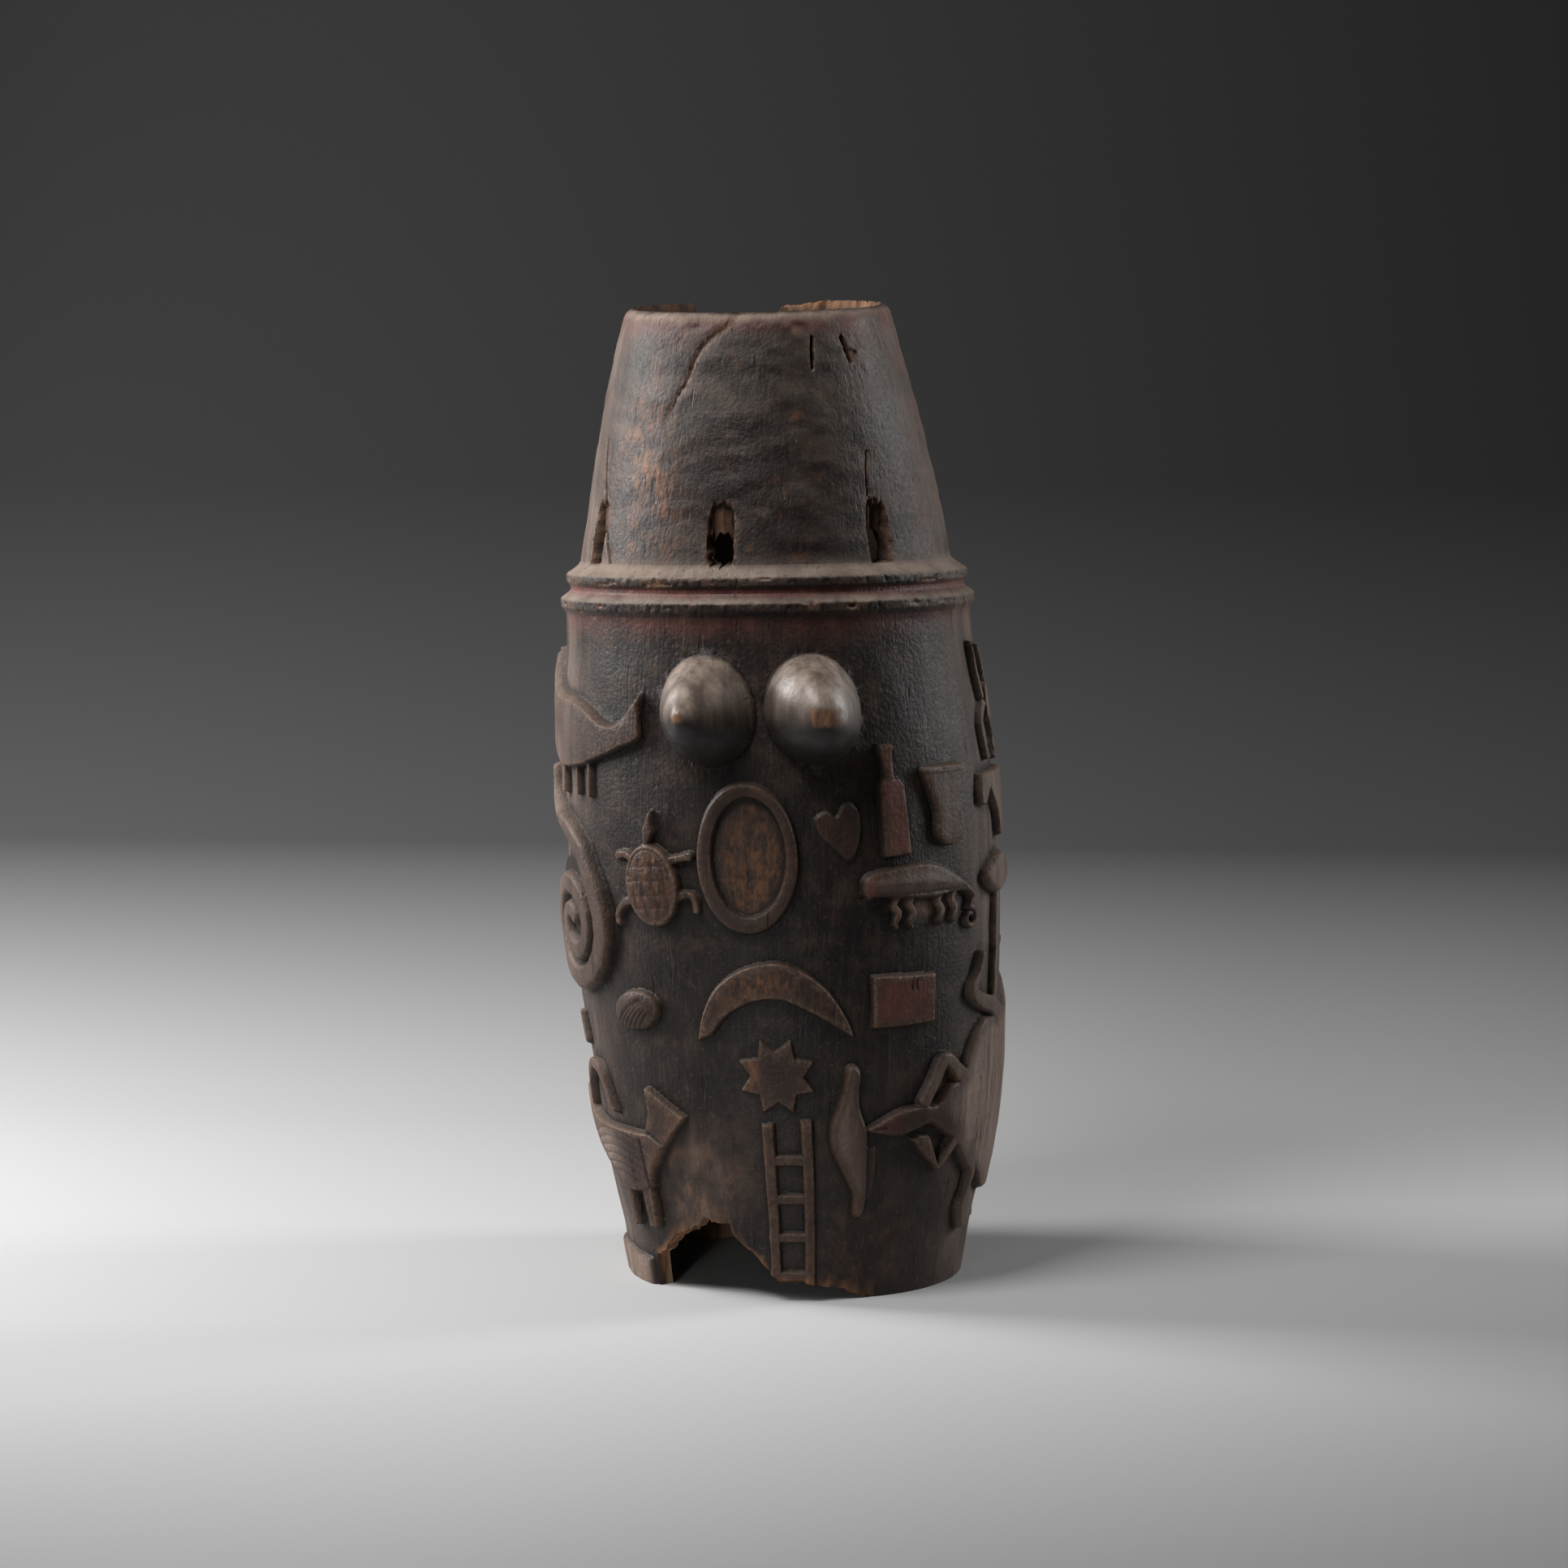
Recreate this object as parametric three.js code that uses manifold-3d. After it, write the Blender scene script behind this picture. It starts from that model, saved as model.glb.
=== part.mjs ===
// Carved wooden drum: one hollow, leaning log with a neck, two collars, peg slots,
// a pair of breasts and a field of low relief figures. Millimetres, +Z up, front at -Y.
import * as THREE from 'three';
import { mergeVertices } from 'three/addons/utils/BufferGeometryUtils.js';
import Module from 'manifold-3d';

// Driving dimensions
const SEGMENTS = 36;
const DEG = Math.PI / 180;

// Outer profile: height, radius, sideways drift of the log's centre line
const OUTER = [
  [-4, 184, 0], [58, 196, 0], [142, 213, -1], [228, 223.5, -4], [336, 234.5, -9.5],
  [450, 240.5, -15], [561, 237.5, -21], [658, 230.5, -28], [741, 224.5, -33],
  [749, 228.5, -33], [757.5, 229.5, -33.5], [770.5, 218.5, -34], [778, 222, -34],
  [785, 222, -34.5], [799.5, 206, -35.5], [896, 188, -39], [984, 169, -42],
  [1058, 150.5, -44.5], [1071, 147, -44.5], [1077, 141, -44.5],
];
// Inner profile: height and radius, from the rim down to the foot
const INNER = [
  [1077.5, 135], [1066, 131], [790, 189], [660, 210], [450, 222],
  [240, 207], [100, 187], [-4, 169],
];
// The collars and the rim lie a little out of square: slopes along X and along Y by height
const SLOPES = [
  [0, 0, 0], [640, 0, 0], [740, 0.018, -0.037], [800, 0.018, -0.037], [1078, 0.019, 0.02],
];
const EMBED = 6; // how far each raised form is let into the wall
const RELIEF = 9; // usual height of a figure

// Peg slots round the foot of the neck
const SLOT = { count: 7, first: -9, low: 795, high: 865, half: 14.5, recess: 8 };

// Breasts: azimuth, height, half sizes at the root, reach, radius of the worn or broken tip
const BREASTS = [
  { az: -13.4, z: 653, rx: 54, rz: 62, reach: 78, tip: 9, lean: -8 },
  { az: 14.2, z: 655, rx: 53, rz: 60, reach: 72, tip: 16, lean: 6 },
];

// Broken foot, front left: azimuth and height of the ragged edge
const FOOT_BREAK = [
  [-50.3, 38], [-44.4, 49], [-39.3, 65], [-33, 73], [-28.9, 80], [-25.9, 91], [-21.8, 86],
  [-17.6, 87], [-16.9, 72], [-12.5, 60], [-8.7, 47], [-5, 32], [-1.2, 22], [10.2, 20],
  [20.8, 13], [26.7, 3],
];
// Broken rim, back: azimuth and height of the ragged edge
const RIM_BREAK = [
  [174, 1066], [178, 1046], [186, 1031], [195, 1026], [203, 1035], [211, 1041], [215, 1064],
];
// Chip that runs down the neck from the rim: azimuth, height, half width
const NECK_CHIP = [
  [-1, 1086, 12], [-8, 1063, 9], [-15.4, 1049, 8], [-20.5, 1030, 6], [-23.5, 1004, 4],
  [-29.8, 968, 2],
];

// The log as a curved place to put things
function lookUp(table, z, column) {
  if (z <= table[0][0]) return table[0][column];
  for (let i = 1; i < table.length; i++) {
    const [lower, upper] = [table[i - 1], table[i]];
    if (z <= upper[0]) {
      const t = (z - lower[0]) / (upper[0] - lower[0]);
      return lower[column] + t * (upper[column] - lower[column]);
    }
  }
  return table[table.length - 1][column];
}

function pointAt(az, z, radius) {
  const x = radius * Math.sin(az * DEG);
  const y = -radius * Math.cos(az * DEG);
  const rise = x * lookUp(SLOPES, z, 1) + y * lookUp(SLOPES, z, 2);
  return [x + lookUp(OUTER, z, 2), y, z + rise];
}

function onSkin(az, z, out) {
  return pointAt(az, z, lookUp(OUTER, z, 1) + out);
}

// Millimetres along the skin per degree of azimuth
function stepAt(z) {
  return lookUp(OUTER, z, 1) * DEG;
}

// Closed meshes
const wasm = await Module();
wasm.setup();

function toManifold(points, faces) {
  const geometry = new THREE.BufferGeometry();
  geometry.setAttribute('position', new THREE.Float32BufferAttribute(points.flat(), 3));
  geometry.setIndex(faces.flat());
  const merged = mergeVertices(geometry, 1e-4);
  const mesh = new wasm.Mesh({
    numProp: 3,
    vertProperties: new Float32Array(merged.attributes.position.array),
    triVerts: new Uint32Array(merged.index.array),
  });
  const solid = new wasm.Manifold(mesh);
  return solid.volume() < 0 ? toManifold(points, faces.map(([a, b, c]) => [a, c, b])) : solid;
}

function quad(a, b, c, d) {
  return [[a, b, c], [a, c, d]];
}

// A grid of rings joined into one skin. Each ring has the same count of points.
function ringFaces(rings, count, closedAround) {
  const faces = [];
  for (let i = 0; i < rings - (closedAround ? 0 : 1); i++) {
    const next = (i + 1) % rings;
    for (let j = 0; j < count; j++) {
      const k = (j + 1) % count;
      faces.push(...quad(i * count + j, i * count + k, next * count + k, next * count + j));
    }
  }
  return faces;
}

function hollowLog() {
  const loop = [...OUTER.map(([z, r]) => [z, r]), ...INNER];
  const points = [];
  for (const [z, r] of loop) {
    for (let j = 0; j < SEGMENTS; j++) points.push(pointAt((j * 360) / SEGMENTS, z, r));
  }
  return toManifold(points, ringFaces(loop.length, SEGMENTS, true));
}

// A raised band that follows a path of [azimuth, height, half width] along the skin.
// Its crown is narrower than its root, and a ridge rounds the broad ones.
function limb(path, height = RELIEF, { crown = 0.72, ridge = 0, depth = EMBED } = {}) {
  const points = [];
  const count = ridge ? 5 : 4;
  path.forEach(([az, z, half], i) => {
    const before = path[Math.max(i - 1, 0)];
    const after = path[Math.min(i + 1, path.length - 1)];
    const step = stepAt(z);
    const along = new THREE.Vector2((after[0] - before[0]) * step, after[1] - before[1]).normalize();
    const side = (reach, out) => onSkin(az - (along.y * reach) / step, z + along.x * reach, out);
    points.push(side(half, -depth), side(half * crown, height));
    if (ridge) points.push(side(0, height + ridge));
    points.push(side(-half * crown, height), side(-half, -depth));
  });
  const faces = ringFaces(path.length, count, false);
  const last = (path.length - 1) * count;
  for (let k = 1; k < count - 1; k++) {
    faces.push([0, k + 1, k], [last, last + k, last + k + 1]);
  }
  return toManifold(points, faces);
}

// A raised form inside an outline of [azimuth, height] seen all from its middle
function plate(outline, height = RELIEF, crown = 0.86) {
  const mid = [0, 1].map((c) => outline.reduce((sum, p) => sum + p[c], 0) / outline.length);
  const levels = [[1, -EMBED], [1, height * 0.55], [crown, height]];
  const points = levels.flatMap(([scale, out]) => outline.map(([az, z]) =>
    onSkin(mid[0] + (az - mid[0]) * scale, mid[1] + (z - mid[1]) * scale, out)));
  return capped(points, outline.length, levels.length, mid, height);
}

function capped(points, count, levels, mid, height) {
  const faces = ringFaces(levels, count, false);
  const low = points.push(onSkin(mid[0], mid[1], -EMBED)) - 1;
  const high = points.push(onSkin(mid[0], mid[1], height)) - 1;
  const top = (levels - 1) * count;
  for (let j = 0; j < count; j++) {
    const k = (j + 1) % count;
    faces.push([low, k, j], [high, top + j, top + k]);
  }
  return toManifold(points, faces);
}

function ovalPoint(az, z, rx, rz, angle, turn) {
  const x = rx * Math.cos(angle);
  const y = rz * Math.sin(angle);
  const c = Math.cos(turn * DEG);
  const s = Math.sin(turn * DEG);
  return [az + (x * c - y * s) / stepAt(z), z + x * s + y * c];
}

function oval(az, z, rx, rz, count, turn = 0) {
  return Array.from({ length: count }, (_, j) =>
    ovalPoint(az, z, rx, rz, (j * 2 * Math.PI) / count, turn));
}

// A rounded mound on an oval root
function dome({ az, z, rx, rz, height, count = 12, turn = 0, flat = 0.4 }) {
  const levels = [[1, -EMBED], [1, height * 0.25], [0.86, height * 0.75], [flat, height]];
  const points = levels.flatMap(([scale, out]) =>
    oval(az, z, rx * scale, rz * scale, count, turn).map(([a, b]) => onSkin(a, b, out)));
  return capped(points, count, levels.length, [az, z], height * 1.04);
}

// A raised oval frame
function hoop({ az, z, rx, rz, band, height, turn = 0, count = 20 }) {
  const section = [[0, -EMBED], [0.15, height], [0.8, height], [1, -EMBED]];
  const points = [];
  for (let j = 0; j < count; j++) {
    for (const [inward, out] of section) {
      const angle = (j * 2 * Math.PI) / count;
      const shrink = inward * band;
      const [a, b] = ovalPoint(az, z, rx - shrink, rz - shrink, angle, turn);
      points.push(onSkin(a, b, out));
    }
  }
  return toManifold(points, ringFaces(count, section.length, true));
}

// A full breast with a small flat tip, leaning a little to its own side
function breast({ az, z, rx, rz, reach, tip, lean }) {
  const count = 14;
  const levels = [[1, 0], [0.98, 0.16], [0.88, 0.44], [0.66, 0.72], [0.4, 0.91]];
  const centre = new THREE.Vector3(...onSkin(az, z, 0));
  const outward = new THREE.Vector3(Math.sin((az + lean) * DEG), -Math.cos((az + lean) * DEG), -0.06);
  const across = new THREE.Vector3(Math.cos((az + lean) * DEG), Math.sin((az + lean) * DEG), 0);
  const rise = new THREE.Vector3(0, 0, 1);
  const ring = (sx, sz, out) => Array.from({ length: count }, (_, j) => {
    const angle = (j * 2 * Math.PI) / count;
    return centre.clone()
      .addScaledVector(across, sx * Math.cos(angle))
      .addScaledVector(rise, sz * Math.sin(angle))
      .addScaledVector(outward, out).toArray();
  });
  const points = [
    ...ring(rx, rz, -30),
    ...levels.slice(1).flatMap(([s, t]) => ring(rx * s, rz * s, t * reach)),
    ...ring(tip, tip, reach),
  ];
  const faces = ringFaces(levels.length + 1, count, false);
  const top = levels.length * count;
  for (let j = 1; j < count - 1; j++) faces.push([0, j + 1, j], [top, top + j, top + j + 1]);
  return toManifold(points, faces);
}

// A radial cutter between two heights that vary with azimuth
function curtain(columns, innerRadius, outerRadius) {
  const points = columns.flatMap(([az, low, high]) => [
    pointAt(az, low, innerRadius), pointAt(az, low, outerRadius),
    pointAt(az, high, outerRadius), pointAt(az, high, innerRadius),
  ]);
  const faces = ringFaces(columns.length, 4, false);
  const last = (columns.length - 1) * 4;
  faces.push(...quad(3, 2, 1, 0), ...quad(last, last + 1, last + 2, last + 3));
  return toManifold(points, faces);
}

// Everything below the floor, so that the foot is cut flat
function belowFloor() {
  const block = new THREE.BoxGeometry(900, 900, 80);
  block.translate(0, 0, -40);
  block.deleteAttribute('normal');
  block.deleteAttribute('uv');
  const merged = mergeVertices(block, 1e-4);
  return new wasm.Manifold(new wasm.Mesh({
    numProp: 3,
    vertProperties: new Float32Array(merged.attributes.position.array),
    triVerts: new Uint32Array(merged.index.array),
  }));
}

// One peg slot: shallow at its torn top, right through the wall at its foot
function pegSlot(az) {
  const tall = SLOT.high - SLOT.low;
  const count = 6;
  const outline = Array.from({ length: count }, (_, j) => {
    const angle = ((j + 0.5) * 2 * Math.PI) / count;
    const half = SLOT.half / stepAt(SLOT.low);
    return [az + half * Math.cos(angle), SLOT.low + (tall / 2) * (1 + Math.sin(angle))];
  });
  const back = ([a, z]) => {
    const t = (z - SLOT.low) / tall;
    return onSkin(a, z, -(t > 0.55 ? SLOT.recess : SLOT.recess + (0.55 - t) * 75));
  };
  const points = [...outline.map(([a, z]) => onSkin(a, z, 14)), ...outline.map(back)];
  const faces = ringFaces(2, count, false);
  for (let j = 1; j < count - 1; j++) faces.push([0, j + 1, j], [count, count + j, count + j + 1]);
  return toManifold(points, faces);
}

// Figures
function mirror() {
  return [hoop({ az: -4.3, z: 494.5, rx: 56, rz: 82, band: 16, height: 10, turn: -2.8 })];
}

function turtle() {
  return [
    dome({ az: -31.1, z: 460, rx: 35, rz: 44, height: 12, turn: 6 }),
    limb([[-32.6, 500, 6], [-31.9, 518, 8.5], [-31.1, 541, 3]], 9),
    limb([[-36.5, 484, 6], [-40, 488, 5.5], [-43, 488, 6]], 7),
    limb([[-26, 488, 6], [-22.5, 492, 5.5], [-19.3, 495, 6]], 7),
    limb([[-36.5, 440, 6], [-41, 440, 5.5], [-43.4, 428, 5], [-43.7, 413, 5]], 7),
    limb([[-25, 448, 6], [-20.5, 453, 5.5], [-18.7, 445, 5], [-18.4, 435, 5]], 7),
  ];
}

// Coiled snake: a neck that runs down into a spiral
function snake() {
  const centre = { az: -66.4, z: 402 };
  const path = [[-83, 566, 7], [-82, 540, 6], [-76, 519, 9], [-64, 504, 12], [-55, 478, 15]];
  const turns = 1.7;
  const steps = 16;
  for (let i = 0; i <= steps; i++) {
    const turned = (i / steps) * turns;
    const angle = 0.45 - turned * 2 * Math.PI;
    const radius = 69 - 36 * turned;
    path.push([
      centre.az + (radius * Math.cos(angle)) / stepAt(centre.z),
      centre.z + radius * 0.96 * Math.sin(angle),
      16.5 - turned * 2,
    ]);
  }
  return [limb(path, 13, { crown: 0.7, ridge: 3 })];
}

function upperBird() {
  return [
    limb([
      [-88, 628, 26], [-74, 615, 37], [-63, 618, 34], [-55, 620, 29], [-47, 616, 18],
      [-39.4, 626, 17], [-33.2, 646, 23],
    ], 12, { crown: 0.8, ridge: 2 }),
    limb([[-60, 582, 4], [-60, 548, 4]], 6),
    limb([[-54, 592, 4], [-54, 550, 4]], 6),
    limb([[-88, 640, 12], [-92, 680, 8], [-93, 702, 9], [-100, 706, 3]], 9),
  ];
}

function heart() {
  return [plate([
    [12.9, 530], [16.4, 544], [18.4, 540], [21.8, 555], [24.3, 546], [25.1, 531], [21.7, 493],
  ], 3.5)];
}

function bottle() {
  return [
    limb([[33.2, 614, 8], [33.8, 596, 7.5], [34.4, 574, 5]], 8),
    limb([[34.8, 580, 11], [34.7, 574, 16], [34.9, 535, 17], [35.4, 498, 17.5], [35.4, 493, 15]], 9,
      { crown: 0.82 }),
  ];
}

function footForm() {
  return [limb([
    [52.9, 586, 31], [52.9, 567, 26], [53.4, 549, 19.5], [53.9, 533, 23], [53.7, 515, 25],
    [53.4, 504, 17], [53.2, 500, 8],
  ], 9, { crown: 0.84 })];
}

function tongs() {
  return [
    limb([[76, 708, 3], [77.5, 680, 4.5], [80.5, 652, 6]], 7),
    limb([[83, 704, 3], [88, 680, 4.5], [88.5, 652, 6]], 7),
    limb([[84.5, 656, 9], [84.5, 630, 9]], 10),
    limb([[80.5, 640, 6], [76, 622, 5], [77.5, 586, 3.5]], 7),
    limb([[87.5, 636, 6], [91.5, 606, 4.5], [91.5, 582, 3.5]], 7),
  ];
}

function trousers() {
  return [
    limb([[80.5, 572, 44], [80.5, 556, 44]], 9, { crown: 0.9 }),
    limb([[70.5, 560, 10], [68.6, 537, 3]], 9),
    limb([[84, 560, 24], [83.5, 532, 14], [83, 498, 9]], 9),
  ];
}

function chameleon() {
  const legs = [33.2, 38, 48.3, 53.5].map((az) =>
    limb([[az + 0.4, 450, 5], [az - 0.7, 434, 4.5], [az, 417, 3]], 6));
  const curl = Array.from({ length: 7 }, (_, i) => {
    const angle = 1.5 - i * 0.95;
    return [61 + (10 * Math.cos(angle)) / 4.19, 417 + 12 * Math.sin(angle), 4];
  });
  return [
    limb([
      [25.2, 461, 10], [27.5, 462, 15], [31, 464, 16.5], [36.8, 466, 20], [45, 465, 20],
      [51, 461, 15], [57, 452, 8], [62, 436, 4],
    ], 11, { ridge: 2 }),
    ...legs,
    limb(curl, 6),
  ];
}

function club() {
  return [
    dome({ az: 77, z: 461, rx: 32, rz: 21, height: 13, count: 10, turn: 12 }),
    limb([[76.5, 446, 5], [75.5, 380, 5], [74, 318, 4]], 7),
  ];
}

function tablet() {
  return [limb([[26.5, 336, 29.5], [33, 336, 29], [39.5, 335.5, 28], [45.8, 335, 27.5]], 8,
    { crown: 0.93 })];
}

// A large creature seen from above: round body, long neck and head, bent legs
function creature() {
  const legs = [
    [[66.6, 370, 8], [64.5, 352, 6.5], [61.8, 332, 9], [66, 319, 11], [73, 310, 11], [78, 296, 14]],
    [[42.3, 221, 8], [45.5, 242, 8], [49.6, 264, 8.5], [54, 250, 10], [59, 232, 11]],
    [[56, 182, 9], [52, 160, 7], [48.8, 143, 5], [44.5, 158, 10], [40.8, 181, 13]],
    [[56, 170, 8], [62, 146, 8], [66.6, 129, 8], [64.6, 106, 5.5], [63.2, 86, 6], [66.5, 66, 5]],
    [[98, 296, 12], [104, 318, 9], [110, 334, 8], [106, 366, 7]],
    [[100, 108, 11], [106, 88, 8], [112, 74, 7], [108, 50, 6]],
  ];
  return [
    dome({ az: 85, z: 203, rx: 104, rz: 106, height: 10, count: 14, flat: 0.6 }),
    limb([
      [24.6, 193, 4], [29.5, 196, 10], [33.8, 198, 17], [39.8, 202, 16], [46.5, 205, 15],
      [54, 206, 30], [62, 206, 46],
    ], 11, { crown: 0.8, ridge: 2 }),
    limb([[108, 203, 26], [122, 207, 14], [136, 214, 8], [148, 226, 3]], 9),
    ...legs.map((path) => limb(path, 10)),
  ];
}

function gourdFish() {
  return [
    limb([
      [20.3, 268, 5], [20.2, 257, 10], [20, 236, 10], [19, 214, 16], [18.9, 194, 21],
      [19.4, 168, 20], [21.2, 140, 15], [22.8, 120, 10], [22.8, 98, 8],
    ], 10, { ridge: 2 }),
    limb([[25, 178, 4], [26.4, 150, 6], [26.2, 118, 6]], 4),
  ];
}

function crescent() {
  const [outerR, outerZ, innerR, innerZ] = [84, 298, 92, 248.5];
  const path = Array.from({ length: 11 }, (_, i) => {
    const angle = (176 - (i * 172) / 10) * DEG;
    const x = outerR * Math.cos(angle);
    const high = outerZ + outerR * Math.sin(angle);
    const low = innerZ + Math.sqrt(innerR * innerR - x * x * 0.93);
    const half = Math.max((high - low) / 2, 2.5);
    return [0.4 + x / 4.06, (high + Math.min(low, high)) / 2, half];
  });
  return [limb(path, 9, { crown: 0.8 })];
}

function starOutline(az, z, outer, inner, points, first) {
  return Array.from({ length: points * 2 }, (_, i) => {
    const radius = i % 2 ? inner : outer;
    const angle = (first + (i * 180) / points) * DEG;
    return [az + (radius * Math.cos(angle)) / stepAt(z), z + radius * Math.sin(angle)];
  });
}

function star() {
  return [plate(starOutline(-0.2, 255.5, 43, 29, 8, 22.5), 4.5, 0.92)];
}

function ladder(az, low, high, gap, rungs, half = 6, height = 7) {
  const rail = (a) => limb([[a + 0.9, low, half], [a, (low + high) / 2, half], [a, high, half]],
    height, { crown: 0.85 });
  const pitch = (high - low) / (rungs + 0.4);
  const parts = [rail(az - gap / 2), rail(az + gap / 2)];
  for (let i = 0; i < rungs; i++) {
    const z = high - pitch * (i + 0.95);
    parts.push(limb([[az - gap / 2, z, half - 1], [az + gap / 2 + 0.4, z, half - 1]], height - 1.5));
  }
  return parts;
}

function cockle() {
  return [dome({ az: -40.4, z: 319, rx: 34, rz: 23, height: 13, count: 12, turn: 14 })];
}

function pincers() {
  return [
    limb([[-66.5, 244, 9], [-62, 232, 7], [-59, 214, 5.5], [-56.6, 198, 3]], 8),
    limb([[-68.5, 243, 9], [-74.5, 226, 7], [-78, 198, 5], [-79, 180, 3]], 8),
  ];
}

function smallWedge() {
  return [limb([[-77, 296, 5], [-75, 268, 7]], 7)];
}

function lowerBird() {
  return [
    limb([
      [-56, 182, 50], [-54, 164, 54], [-53, 138, 46], [-51.4, 119, 30], [-50.6, 108, 25],
    ], 11, { crown: 0.86, ridge: 2 }),
    plate([[-41.5, 233], [-27.6, 204], [-33, 180], [-39.5, 152], [-47, 168]], 9),
    limb([[-46.5, 116, 9], [-46.6, 74, 9]], 9),
    limb([[-56.5, 116, 6], [-58, 74, 6]], 8),
    limb([[-62, 164, 28], [-74, 172, 20], [-84, 190, 10], [-88, 210, 8]], 10),
  ];
}

// Moulded foot ring, lost at the front and right
function footRing() {
  const path = Array.from({ length: 12 }, (_, i) => {
    const az = -51 - i * 16;
    return [az, 12 + (i ? 3 : 0), i ? 19 : 14];
  });
  return [limb(path, 9, { crown: 0.62 })];
}

// Plainer figures on the side that turns away
function backFigures() {
  const lizard = (az, z, size) => [
    limb([
      [az, z + 76 * size, 7], [az, z + 62 * size, 12 * size], [az, z + 24 * size, 14 * size],
      [az, z - 22 * size, 14 * size], [az + 1, z - 56 * size, 6], [az + 5, z - 98 * size, 3],
    ], 9),
    ...[[1, 34, 24], [-1, 34, 24], [1, -26, -22], [-1, -26, -22]].map(([side, root, reach]) =>
      limb([
        [az + side * 1.5, z + root * size, 5],
        [az + side * 9 * size, z + (root + reach) * size, 4.5],
      ], 6)),
  ];
  return [
    ...lizard(128, 500, 1),
    ...lizard(-136, 330, 0.9),
    plate(starOutline(176, 600, 38, 25, 8, 0), 5, 0.92),
    limb([[150, 318, 24], [154, 318, 8], [162, 320, 20], [171, 321, 18], [179, 318, 5]], 9),
    ...ladder(-164, 400, 540, 10, 4, 5, 6),
    limb([[158, 90, 7], [158, 210, 6]], 8),
    plate([[151, 196], [151, 232], [164, 222], [164, 206]], 9),
    limb([[-112, 560, 10], [-118, 596, 22], [-126, 600, 24], [-134, 585, 12], [-141, 600, 16]], 9),
    limb([[-150, 205, 18], [-157, 197, 24], [-168, 197, 24], [-175, 205, 18]], 8),
    limb([[-104, 250, 5], [-100, 210, 5], [-106, 170, 5], [-101, 130, 5], [-107, 96, 3]], 7),
    limb([[-176, 90, 9], [-170, 84, 13], [-160, 84, 13], [-154, 90, 9]], 7),
    plate(oval(-104, 345, 24, 30, 10), 8),
    limb([[186, 470, 11], [184, 440, 14], [186, 410, 11], [186, 366, 4]], 8),
  ];
}

// Build
const raised = [
  ...mirror(), ...turtle(), ...snake(), ...upperBird(), ...heart(), ...bottle(), ...footForm(),
  ...tongs(), ...trousers(), ...chameleon(), ...club(), ...tablet(), ...creature(),
  ...gourdFish(), ...crescent(), ...star(), ...ladder(1.9, 8, 206, 10.7, 4), ...cockle(),
  ...pincers(), ...smallWedge(), ...lowerBird(), ...footRing(), ...backFigures(),
  ...BREASTS.map(breast),
];
const cutters = [
  curtain(FOOT_BREAK.map(([az, z]) => [az, -30, z]), 120, 250),
  curtain(RIM_BREAK.map(([az, z]) => [az, z, 1120]), 100, 190),
  belowFloor(),
  limb(NECK_CHIP, 30, { crown: 1.6, depth: 5 }),
];
for (let i = 0; i < SLOT.count; i++) {
  cutters.push(pegSlot(SLOT.first + (i * 360) / SLOT.count));
}

let body = hollowLog();
for (const form of raised) body = body.add(form);
for (const cutter of cutters) body = body.subtract(cutter);

const result = body.getMesh();
const geometry = new THREE.BufferGeometry();
geometry.setAttribute('position', new THREE.BufferAttribute(new Float32Array(result.vertProperties), 3));
geometry.setIndex(new THREE.BufferAttribute(new Uint32Array(result.triVerts), 1));
geometry.computeBoundingBox();
const box = geometry.boundingBox;
geometry.translate(-(box.min.x + box.max.x) / 2, -(box.min.y + box.max.y) / 2, -box.min.z);

const wood = new THREE.MeshStandardMaterial({ color: 0x4a3c34, roughness: 0.65, name: 'wood' });
const drum = new THREE.Mesh(geometry, wood);
drum.name = 'drum_body';

const object = new THREE.Group();
object.name = 'carved_drum';
object.add(drum);

export default object;
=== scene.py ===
"""Carved wooden drum: one hollow log with a neck, two collars, peg slots, breasts and low relief figures.

The skin is one closed mesh. A coarse tube is spun, subdivided, laid on the leaning log, and the
carving is a height field over azimuth and height. Lengths are millimetres until the mesh is placed,
+Z is up, and azimuth 0 is the front of the drum, which faces -Y.
"""
import math
from types import SimpleNamespace

import bmesh
import bpy
import numpy as np
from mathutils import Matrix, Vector


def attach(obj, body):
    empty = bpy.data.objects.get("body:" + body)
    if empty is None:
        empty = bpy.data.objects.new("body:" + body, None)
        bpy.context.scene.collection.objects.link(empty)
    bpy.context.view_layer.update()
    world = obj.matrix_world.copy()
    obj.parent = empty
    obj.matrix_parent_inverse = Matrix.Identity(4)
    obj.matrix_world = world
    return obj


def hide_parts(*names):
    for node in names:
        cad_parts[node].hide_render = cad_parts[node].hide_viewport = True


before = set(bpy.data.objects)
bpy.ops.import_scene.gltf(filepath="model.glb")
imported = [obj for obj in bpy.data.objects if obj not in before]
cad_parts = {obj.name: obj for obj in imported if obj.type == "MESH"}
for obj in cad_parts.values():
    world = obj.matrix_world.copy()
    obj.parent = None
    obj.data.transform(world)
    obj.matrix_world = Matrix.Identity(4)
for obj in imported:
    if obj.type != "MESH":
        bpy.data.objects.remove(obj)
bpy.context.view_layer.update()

MM = 0.001
DEG = math.pi / 180
# Middle of the log's foot in the frame
FOOT_X, FOOT_Y = 19.45, 26.30
FOOT = np.array([FOOT_X, FOOT_Y, 0])

# Camera at the photograph's angle, metres
CAMERA_AT = (0.4099, -5.4603, 1.2035)
CAMERA_AIM = (0.00425, 0.0263, 0.5465)
CAMERA_LENS = 113.87

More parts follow.
